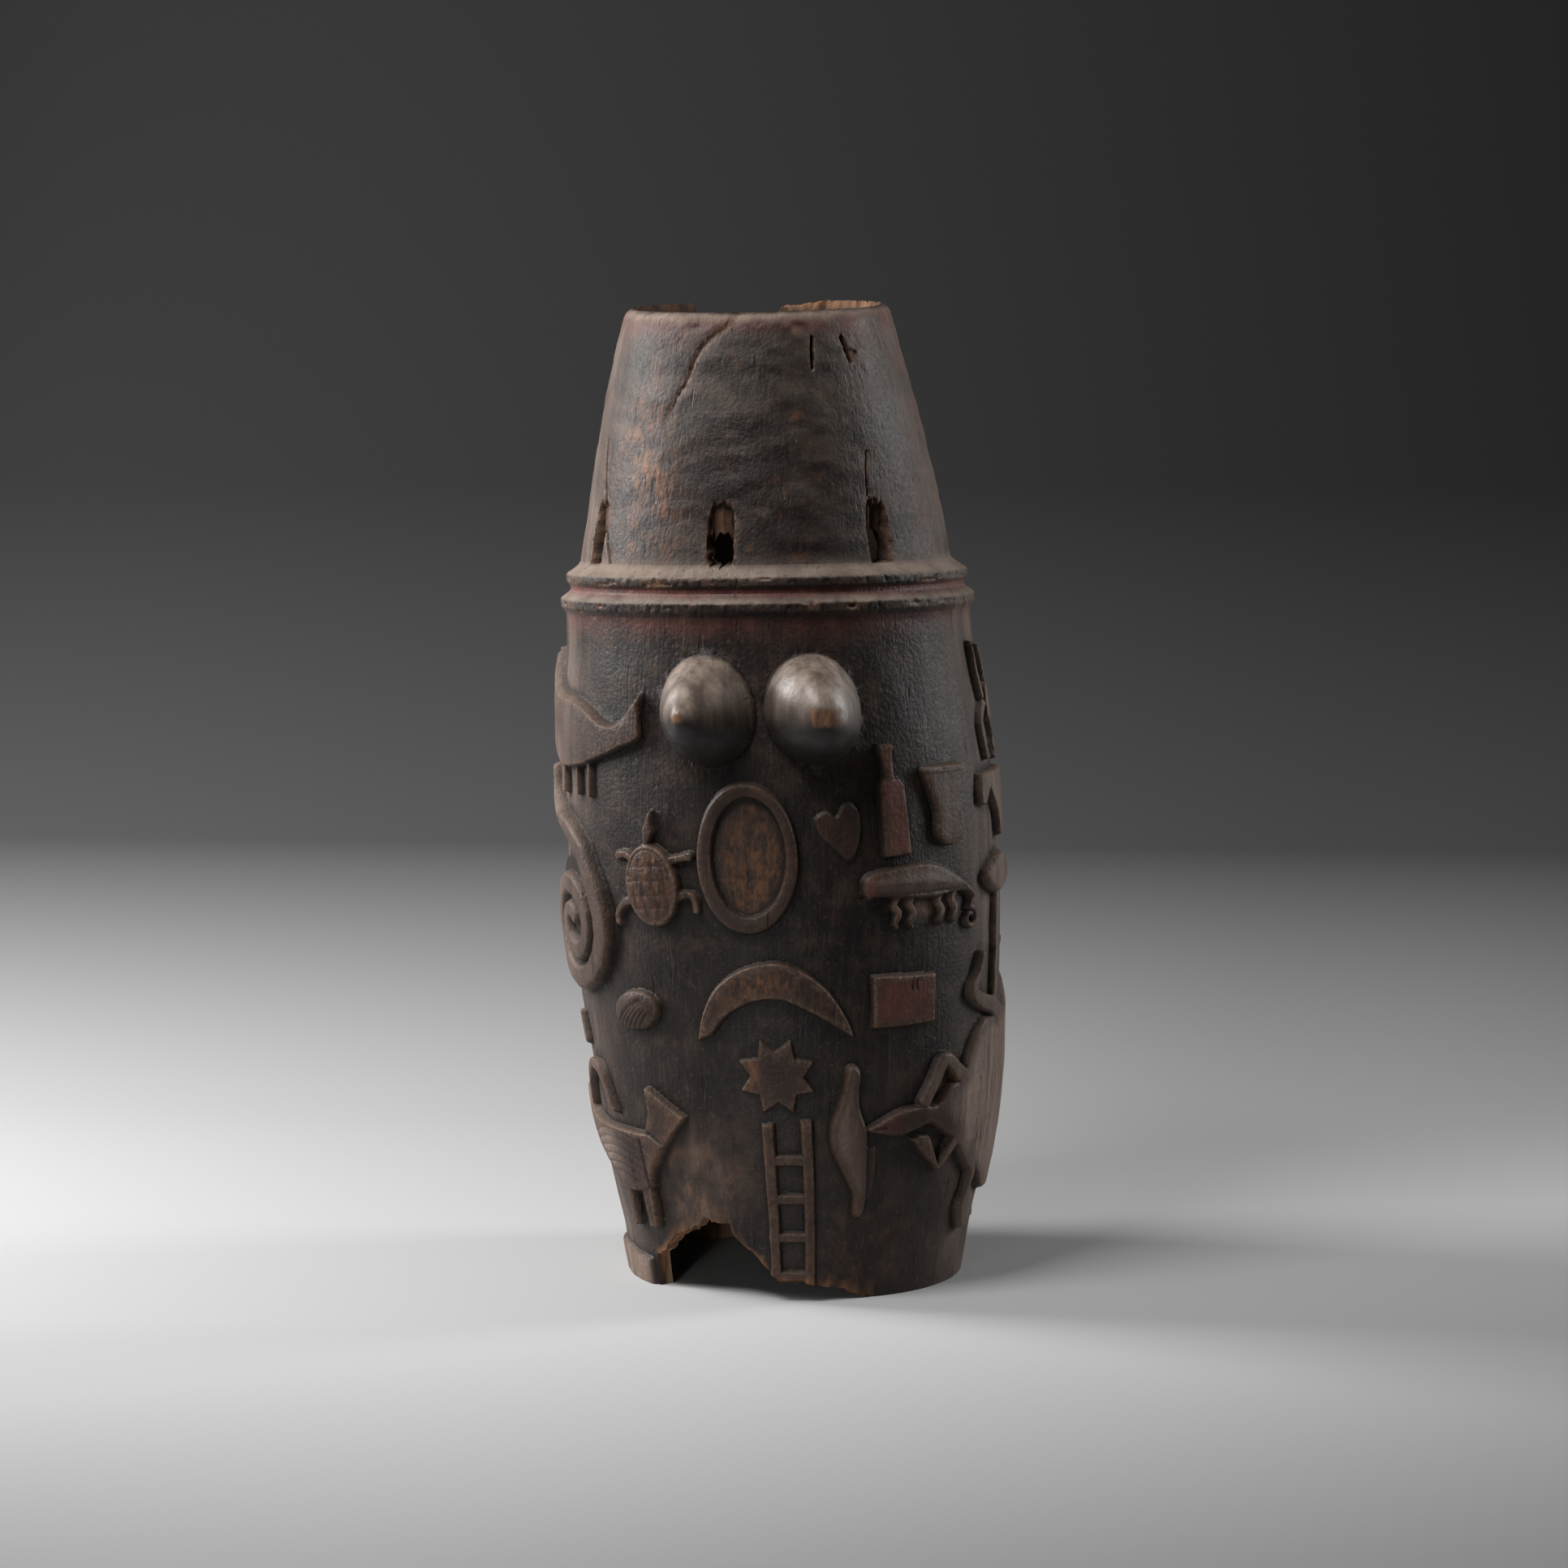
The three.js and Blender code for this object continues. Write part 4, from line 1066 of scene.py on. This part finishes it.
def stained(mesh):
    """Colour attributes that carry the stains to the wood's material."""
    co = places(mesh)
    azimuth, z, out = skin_place(co)
    inside = smoothstep(6, -2, out + outer_radius(z) - inner_radius(z) - 4)
    values = {name: sample(stains[name], azimuth, z) * (1 - inside) for name in STAINS}
    breast, clean = np.zeros(len(co)), np.zeros(len(co))
    for shape in BREASTS.values():
        away = np.hypot(*breast_ellipse(shape, azimuth, z))
        breast = np.maximum(breast, smoothstep(1.25, 0.98, away) * smoothstep(2, 10, out))
        clean = np.maximum(clean, smoothstep(1.45, 1.2, away))
        values["fresh"] = np.maximum(values["fresh"], torn_patch(shape, co))
    values["polish"] = np.maximum(values["polish"], breast)
    values["red"] *= 1 - breast
    values["orange"] *= 1 - breast
    far_rim = smoothstep(1066, 1073, z) * (np.abs(azimuth) > FAR_RIM) * smoothstep(-1.5, -4, out)
    values["fresh"] = np.maximum(values["fresh"], far_rim * (1 - 0.5 * (azimuth < 0)))
    end = smoothstep(-3, -7, out) * smoothstep(0, 3, out + outer_radius(z) - inner_radius(z))
    broken = (((foot_edge(azimuth) > 1) & (z < 110)) | ((rim_edge(azimuth) < TOP - 1) & (z > 1000)))
    values["fresh"] = np.maximum(values["fresh"], end * broken)
    values.update(clean=clean, inner=inside)
    for layer, names in STAIN_LAYERS.items():
        data = np.ones((len(co), 4), dtype=np.float32)
        for k, name in enumerate(names):
            data[:, k] = np.clip(values[name], 0, 1)
        mesh.attributes.new(layer, "FLOAT_COLOR", "POINT").data.foreach_set("color", data.ravel())


def keep_edges(drum):
    """Marks the plain ground, which may lose faces, apart from the edges of the carving."""
    co = places(drum.data)
    azimuth, z, out = skin_place(co)
    steep = np.hypot(*np.gradient(relief))
    steep = np.minimum(blur(np.clip(steep - 0.25, 0, 1), 3) * 3, 1)
    keep = sample(steep, azimuth, z) * smoothstep(-14, -8, out) * smoothstep(125, 95, np.abs(azimuth))
    for shape in BREASTS.values():
        away = np.linalg.norm(co / MM - breast_tip(shape), axis=1)
        keep = np.maximum(keep, smoothstep(26, 18, away))
    group = drum.vertex_groups.new(name="plain")
    levels = np.round((1 - np.clip(keep, 0, 1)) * 4).astype(int)
    for level in range(1, 5):
        group.add(np.flatnonzero(levels == level).tolist(), level / 4, "REPLACE")


def field_normals(azimuth, z, field=None, near=0.6):
    """The way the carved skin faces at each place, or the plain skin where no field is given."""
    def at(turn, up):
        rise = 0 if field is None else sample(field, azimuth + turn, z + up)
        return skin_point(azimuth + turn, z + up, outer_radius(z + up) + rise)
    across = at(near / 4, 0) - at(-near / 4, 0)
    normals = np.cross(across, at(0, near) - at(0, -near))
    return normals / np.linalg.norm(normals, axis=1)[:, None]


def carved_normals(mesh):
    """Shading normals from the carving itself, so that its edges stay clean on the thinned mesh."""
    azimuth, z, out = skin_place(places(mesh))
    on_skin = (np.abs(out - sample(relief, azimuth, z)) < 2.5) & (np.abs(z - SLOT_Z) > 22)
    for shape in BREASTS.values():
        on_skin &= np.hypot(*breast_ellipse(shape, azimuth, z)) > 1.02
    corners = read(mesh.loops, "vertex_index", np.int32)
    sides = read(mesh.polygons, "loop_total", np.int32)
    flat = np.repeat(read(mesh.polygons, "normal", np.float32, 3), sides, axis=0)
    wanted = field_normals(azimuth, z, blur(relief, 1))[corners]
    plain = field_normals(azimuth, z)[corners]
    # Faces that lie along the plain ground keep their own normal beside a steep edge
    ground = ((plain * flat).sum(axis=1) > 0.97) & ((wanted * plain).sum(axis=1) < 0.96)
    wanted[ground] = flat[ground]
    # A zero leaves the mesh's own normal
    wanted[~on_skin[corners] | ((wanted * flat).sum(axis=1) < 0.35)] = 0
    mesh.normals_split_custom_set(wanted.tolist())


def carved_drum():
    """The whole log: subdivided, laid out, thinned and bored, with its stains and normals."""
    carve()
    drum = linked("drum_carved", spun_tube())
    fine = drum.modifiers.new("rows and columns", "SUBSURF")
    fine.subdivision_type = "SIMPLE"
    fine.levels = fine.render_levels = 4
    laid_on_log(applied(drum))
    keep_edges(drum)
    thin = drum.modifiers.new("fewer faces", "DECIMATE")
    thin.ratio = TRIANGLES / (2 * len(drum.data.polygons))
    thin.vertex_group = "plain"
    thin.vertex_group_factor = 0.00002
    # Thinning can pull the foot a little below the floor
    lowest = places(applied(drum))
    lowest[:, 2] = np.maximum(lowest[:, 2], 0)
    put(drum.data, lowest)
    drum.vertex_groups.clear()
    cutter = linked("slot_cutters", slot_cutters())
    slots = drum.modifiers.new("peg slots", "BOOLEAN")
    slots.operation = "DIFFERENCE"
    slots.solver = "MANIFOLD"
    slots.object = cutter
    mesh = applied(drum)
    bpy.data.objects.remove(cutter)
    if "wall" in mesh.attributes:
        mesh.attributes.remove(mesh.attributes["wall"])
    mesh.shade_smooth()
    mesh.set_sharp_from_angle(angle=SHARP_ANGLE)
    stained(mesh)
    carved_normals(mesh)
    return drum


# Materials
class Nodes:
    """Short ways to add and join nodes."""

    def __init__(self, tree):
        self.tree = tree

    def feed(self, socket, value):
        """Joins a socket to another, or sets its value."""
        if isinstance(value, bpy.types.NodeSocket):
            self.tree.links.new(value, socket)
        else:
            socket.default_value = value

    def add(self, kind, inputs=None, **settings):
        node = self.tree.nodes.new(kind)
        for name, value in settings.items():
            setattr(node, name, value)
        for name, value in (inputs or {}).items():
            self.feed(node.inputs[name], value)
        return node

    def math(self, operation, a, b=0.0, clamp=False):
        return self.add("ShaderNodeMath", {0: a, 1: b}, operation=operation, use_clamp=clamp).outputs[0]

    def times(self, a, b, clamp=False):
        return self.math("MULTIPLY", a, b, clamp)

    def without(self, value, clamp=False):
        """What is left of 1 beside the value."""
        return self.math("SUBTRACT", 1.0, value, clamp)

    def ramp(self, value, low, high, to_low=0.0, to_high=1.0):
        node = self.add("ShaderNodeMapRange", {"Value": value, "From Min": low, "From Max": high,
                                               "To Min": to_low, "To Max": to_high})
        return node.outputs["Result"]

    def mix(self, factor, a, b):
        """Blends two colours, each a colour socket or three numbers."""
        a, b = (colour if isinstance(colour, bpy.types.NodeSocket) else (*colour, 1.0) for colour in (a, b))
        return self.add("ShaderNodeMix", {0: factor, 6: a, 7: b}, data_type="RGBA").outputs[2]

    def noise(self, vector, scale, detail=4.0, roughness=0.55, distortion=0.0):
        node = self.add("ShaderNodeTexNoise", {"Vector": vector, "Scale": scale, "Detail": detail,
                                               "Roughness": roughness, "Distortion": distortion})
        return node.outputs["Fac"]

    def stretched(self, vector, stretch):
        return self.add("ShaderNodeMapping", {"Vector": vector, "Scale": stretch}).outputs["Vector"]

    def upward(self, vector):
        return self.add("ShaderNodeSeparateXYZ", {"Vector": vector}).outputs["Z"]


# Colours of the wood
BLACKENED, BROWNED = (0.0074, 0.0055, 0.0054), (0.0180, 0.0120, 0.0104)
BROWN_PATCH, TAN_SPECK, GREY_GRAIN = (0.044, 0.027, 0.018), (0.110, 0.064, 0.042), (0.060, 0.046, 0.038)
FIGURE_BROWN, WORN_EDGE = (0.037, 0.0195, 0.0140), (0.135, 0.082, 0.054)
PALE_GREY, DUST = (0.192, 0.141, 0.115), (0.180, 0.140, 0.112)
RED, ORANGE = (0.120, 0.036, 0.028), (0.185, 0.076, 0.030)
# Rubbed wood of the breasts: the two upper colours carry a painted highlight, and the lower one is painted
# shade
RUBBED_LIT_DARK, RUBBED_LIT_PALE, RUBBED_IN_PAINTED_SHADE = (0.100, 0.073, 0.056), (0.260, 0.200, 0.160), (0.012, 0.0085, 0.007)
TORN_DARK, TORN_PALE = (0.046, 0.020, 0.010), (0.180, 0.088, 0.042)
HOLLOW_DARK, HOLLOW_PALE = (0.016, 0.009, 0.006), (0.050, 0.029, 0.018)
HOLLOW_FOOT_DARK, HOLLOW_FOOT_PALE = (0.090, 0.050, 0.030), (0.420, 0.270, 0.170)
SOOT_AND_PAINTED_SHADE, GRIME = (0.010, 0.007, 0.006), (0.008, 0.006, 0.005)


def wood_patterns(n):
    """Noise along the grain, in clouds, specks and tool marks, and the stains that the mesh carries."""
    place = n.add("ShaderNodeTexCoord").outputs["Object"]
    upright = n.stretched(place, (1.0, 1.0, 0.07))
    slanted = n.add("ShaderNodeMapping", {"Vector": place, "Rotation": (0, 0.75, 0),
                                          "Scale": (1.0, 1.0, 0.4)})
    w = SimpleNamespace(
        grain=n.noise(upright, 260.0, 5.0, 0.6),
        coarse_grain=n.noise(upright, 70.0, 4.0, 0.6),
        cloud=n.noise(place, 9.0, 5.0, 0.6),
        blotch=n.noise(place, 34.0, 5.0, 0.65),
        speck=n.noise(place, 210.0, 3.0, 0.6),
        tool=n.noise(n.stretched(place, (0.35, 0.35, 1.0)), 60.0, 3.0, 0.5),
        stroke=n.noise(slanted.outputs["Vector"], 150.0, 3.0, 0.6, 0.6),
        leather=n.noise(place, 165.0, 4.0, 0.62, 0.8),
        split=n.noise(n.stretched(place, (1.0, 1.0, 0.05)), 95.0, 2.0, 0.4),
        up=n.upward(place),
        facing=n.upward(n.add("ShaderNodeNewGeometry").outputs["Normal"]))
    for layer, names in STAIN_LAYERS.items():
        colour = n.add("ShaderNodeAttribute", attribute_name=layer).outputs["Color"]
        for name, part in zip(names, n.add("ShaderNodeSeparateColor", {"Color": colour}).outputs):
            setattr(w, name, part)
    return w


def wood_colour(n, w, dust):
    """Layers of colour, from the blackened ground up to the dust."""
    def along_grain(dark, pale):
        return n.mix(n.ramp(w.coarse_grain, 0.35, 0.65), dark, pale)

    base = n.mix(n.ramp(w.cloud, 0.35, 0.68), BLACKENED, BROWNED)
    for pattern, low, high, most, colour in (
            (w.blotch, 0.48, 0.72, 0.7, BROWN_PATCH),
            (w.speck, 0.60, 0.70, 0.28, TAN_SPECK),
            (w.grain, 0.5, 0.8, 0.35, GREY_GRAIN)):
        base = n.mix(n.ramp(pattern, low, high, 0.0, most), base, colour)
    # The handled breasts are rubbed wood, with a painted highlight above and painted shade below
    handled = n.mix(n.ramp(w.facing, -0.30, 0.55), RUBBED_IN_PAINTED_SHADE, along_grain(RUBBED_LIT_DARK, RUBBED_LIT_PALE))
    for stain, pattern, low, high, least, most, colour in (
            (w.raised, w.blotch, 0.3, 0.7, 0.3, 0.8, FIGURE_BROWN),
            (w.pale, w.coarse_grain, 0.3, 0.62, 0.3, 0.95, PALE_GREY),
            (w.red, w.blotch, 0.3, 0.6, 0.35, 0.95, RED),
            (w.orange, w.stroke, 0.40, 0.64, 0.0, 0.85, ORANGE),
            (w.worn, w.leather, 0.38, 0.62, 0.1, 0.9, WORN_EDGE),
            (w.polish, w.blotch, 0.35, 0.65, 0.65, 0.95, handled)):
        base = n.mix(n.times(stain, n.ramp(pattern, low, high, least, most)), base, colour)
    base = n.mix(w.fresh, base, along_grain(TORN_DARK, TORN_PALE))
    # The hollow is paler near the broken foot, where light gets in
    hollow = n.mix(n.ramp(w.up, 0.16, 0.03), along_grain(HOLLOW_DARK, HOLLOW_PALE),
                   along_grain(HOLLOW_FOOT_DARK, HOLLOW_FOOT_PALE))
    base = n.mix(n.times(w.inner, n.without(w.fresh)), base, hollow)
    # The dark mask is soot, and painted shade down the neck's middle and deep in the peg slots
    base = n.mix(n.times(w.dark, 0.75), base, SOOT_AND_PAINTED_SHADE)
    base = n.mix(n.times(w.groove, 0.85, clamp=True), base, GRIME)
    return n.mix(n.times(dust, n.without(w.inner)), base, DUST)


def wood_dust(n, w):
    """Dust on what faces up, with less where the wood is handled, red or raised, and on the belly."""
    dust = n.times(n.ramp(w.facing, 0.15, 0.75), n.ramp(w.blotch, 0.3, 0.6, 0.3, 0.85))
    handled = n.math("ADD", n.times(w.polish, 0.8), n.times(w.red, 0.75))
    figures = n.math("MAXIMUM", n.times(w.raised, 0.65), n.times(w.clean, 0.95))
    for bare in (handled, figures):
        dust = n.times(dust, n.without(bare, clamp=True))
    return n.times(dust, n.ramp(w.up, 0.70, 0.73, 0.22, 1.0))


def wood_roughness(n, w, dust):
    """Duller where the wood is pale, torn, inside or dusty, and a little smoother where it is handled."""
    rough = n.ramp(w.cloud, 0.3, 0.7, 0.40, 0.56)
    dull = n.math("MAXIMUM", w.pale, n.math("MAXIMUM", w.fresh, w.inner))
    for more in (n.ramp(w.speck, 0.35, 0.65, -0.07, 0.07), n.times(dull, 0.28), n.times(dust, 0.25)):
        rough = n.math("ADD", rough, more)
    return n.math("SUBTRACT", rough, n.times(w.polish, 0.04), clamp=True)


def wood_height(n, w):
    """Grain, tool marks, pits and fine splits, stronger on the neck than on the belly."""
    split = n.ramp(w.split, 0.27, 0.31, 0.0, 1.0)
    uneven = n.times(n.ramp(w.up, 0.74, 0.82, 0.40, 1.0), n.ramp(w.cloud, 0.35, 0.65, 0.45, 1.0))
    marks = n.math("ADD", n.times(w.stroke, 0.38), n.times(w.leather, 0.22))
    height = n.times(w.grain, 0.24)
    for more in (n.times(w.coarse_grain, 0.32), n.times(w.tool, 0.18), n.times(marks, uneven),
                 n.times(w.speck, 0.45), n.times(split, 0.5)):
        height = n.math("ADD", height, more)
    return n.times(height, n.without(n.times(w.polish, 0.62)))


def aged_wood():
    """Blackened, handled and dusty wood."""
    material = bpy.data.materials.new("aged_carved_wood")
    material.use_nodes = True
    material.node_tree.nodes.clear()
    n = Nodes(material.node_tree)
    w = wood_patterns(n)
    dust = wood_dust(n, w)
    bump = n.add("ShaderNodeBump", {"Strength": 0.8, "Distance": 0.0028, "Height": wood_height(n, w)})
    surface = n.add("ShaderNodeBsdfPrincipled", {
        "Base Color": wood_colour(n, w, dust),
        "Roughness": wood_roughness(n, w, dust),
        "Normal": bump.outputs["Normal"],
        "Specular IOR Level": 0.19,
        "Coat Roughness": 0.38,
        "Coat Weight": n.times(w.polish, n.ramp(w.blotch, 0.3, 0.7, 0.08, 0.5))})
    n.add("ShaderNodeOutputMaterial", {"Surface": surface.outputs["BSDF"]})
    return material


def grey(value):
    return value, value, value


def studio_paper():
    """Pale paper under the drum, with painted shade towards the camera, up the backdrop and to its right, and
    clear from behind.
    """
    material = bpy.data.materials.new("studio_paper")
    material.use_nodes = True
    n = Nodes(material.node_tree)
    place = n.add("ShaderNodeTexCoord").outputs["Object"]
    across, near, height = n.add("ShaderNodeSeparateXYZ", {"Vector": place}).outputs
    # Painted shade: the floor darker towards the camera, the backdrop darker as it rises and further from the
    # left lamp
    floor_grey = n.mix(n.ramp(near, -0.3, -1.5), grey(0.365), grey(0.21))
    low_grey = n.mix(n.ramp(height, 0.0, 0.25), floor_grey, grey(0.074))
    high_grey = n.mix(n.ramp(across, -1.3, 1.3), grey(0.036), grey(0.023))
    surface = material.node_tree.nodes["Principled BSDF"]
    n.feed(surface.inputs["Base Color"], n.mix(n.ramp(height, 0.22, 0.75), low_grey, high_grey))
    n.feed(surface.inputs["Roughness"], 0.9)
    n.feed(surface.inputs["Specular IOR Level"], 0.1)
    clear = n.add("ShaderNodeBsdfTransparent").outputs["BSDF"]
    behind = n.add("ShaderNodeNewGeometry").outputs["Backfacing"]
    both = n.add("ShaderNodeMixShader", {0: behind, 1: surface.outputs["BSDF"], 2: clear}).outputs[0]
    n.feed(material.node_tree.nodes["Material Output"].inputs["Surface"], both)
    return material


# The room
def sweep():
    """Pale floor that curves up into a grey backdrop, in metres."""
    bm = bmesh.new()
    front, start, bend, top, half_wide = -7.0, 0.9, 1.6, 8.0, 9.0
    run = [(front, 0.0), (start, 0.0)]
    run += [(start + bend * math.sin(a * DEG), bend - bend * math.cos(a * DEG)) for a in range(6, 91, 6)]
    run += [(start + bend, top)]
    points = [bm.verts.new((-half_wide, y, z)) for y, z in run]
    edges = [bm.edges.new(pair) for pair in zip(points, points[1:])]
    made = bmesh.ops.extrude_edge_only(bm, edges=edges)["geom"]
    far_side = [part for part in made if isinstance(part, bmesh.types.BMVert)]
    bmesh.ops.translate(bm, vec=(2 * half_wide, 0, 0), verts=far_side)
    bm.normal_update()
    turned = [face for face in bm.faces if face.normal.z - face.normal.y < 0]
    bmesh.ops.reverse_faces(bm, faces=turned)
    mesh = finished(bm, "studio_sweep")
    mesh.shade_smooth()
    mesh.materials.append(studio_paper())
    linked("studio_sweep", mesh)


def aimed(thing, at, aim):
    thing.location = at
    thing.rotation_euler = (Vector(aim) - Vector(at)).to_track_quat("-Z", "Y").to_euler()


def soft_light(name, at, aim, size, power, spread=180):
    data = bpy.data.lights.new(name, "AREA")
    data.shape = "RECTANGLE"
    data.size, data.size_y = size
    data.energy = power
    data.spread = spread * DEG
    aimed(linked(name, data), at, aim)


def lights_and_camera():
    """Soft light from above and the left, a thin edge from the right, and the photograph's view."""
    scene = bpy.context.scene
    world = bpy.data.worlds.new("dim_room")
    world.use_nodes = True
    world.node_tree.nodes["Background"].inputs["Color"].default_value = (1.0, 1.0, 1.0, 1.0)
    world.node_tree.nodes["Background"].inputs["Strength"].default_value = 0.03
    scene.world = world
    soft_light("top_soft", at=(-1.05, -1.45, 2.75), aim=(0, 0, 0.7), size=(1.2, 0.9), power=80)
    soft_light("left_soft", at=(-2.3, 0.30, 1.65), aim=(0, 0, 0.6), size=(0.9, 1.8), power=118)
    soft_light("right_soft", at=(2.3, 0.75, 1.4), aim=(0, 0, 0.5), size=(0.6, 2.0), power=10, spread=70)
    soft_light("low_fill", at=(-0.6, -2.6, 0.24), aim=(-0.06, -0.1, 0.02), size=(0.5, 0.2), power=0.6,
               spread=30)
    data = bpy.data.cameras.new("camera")
    data.lens = CAMERA_LENS
    data.sensor_width = 36
    scene.camera = linked("camera", data)
    aimed(scene.camera, CAMERA_AT, CAMERA_AIM)
    scene.view_settings.view_transform = "Standard"


drum = carved_drum()
drum.data.materials.clear()
drum.data.materials.append(aged_wood())
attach(drum, "root")
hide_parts("drum_body")
sweep()
lights_and_camera()
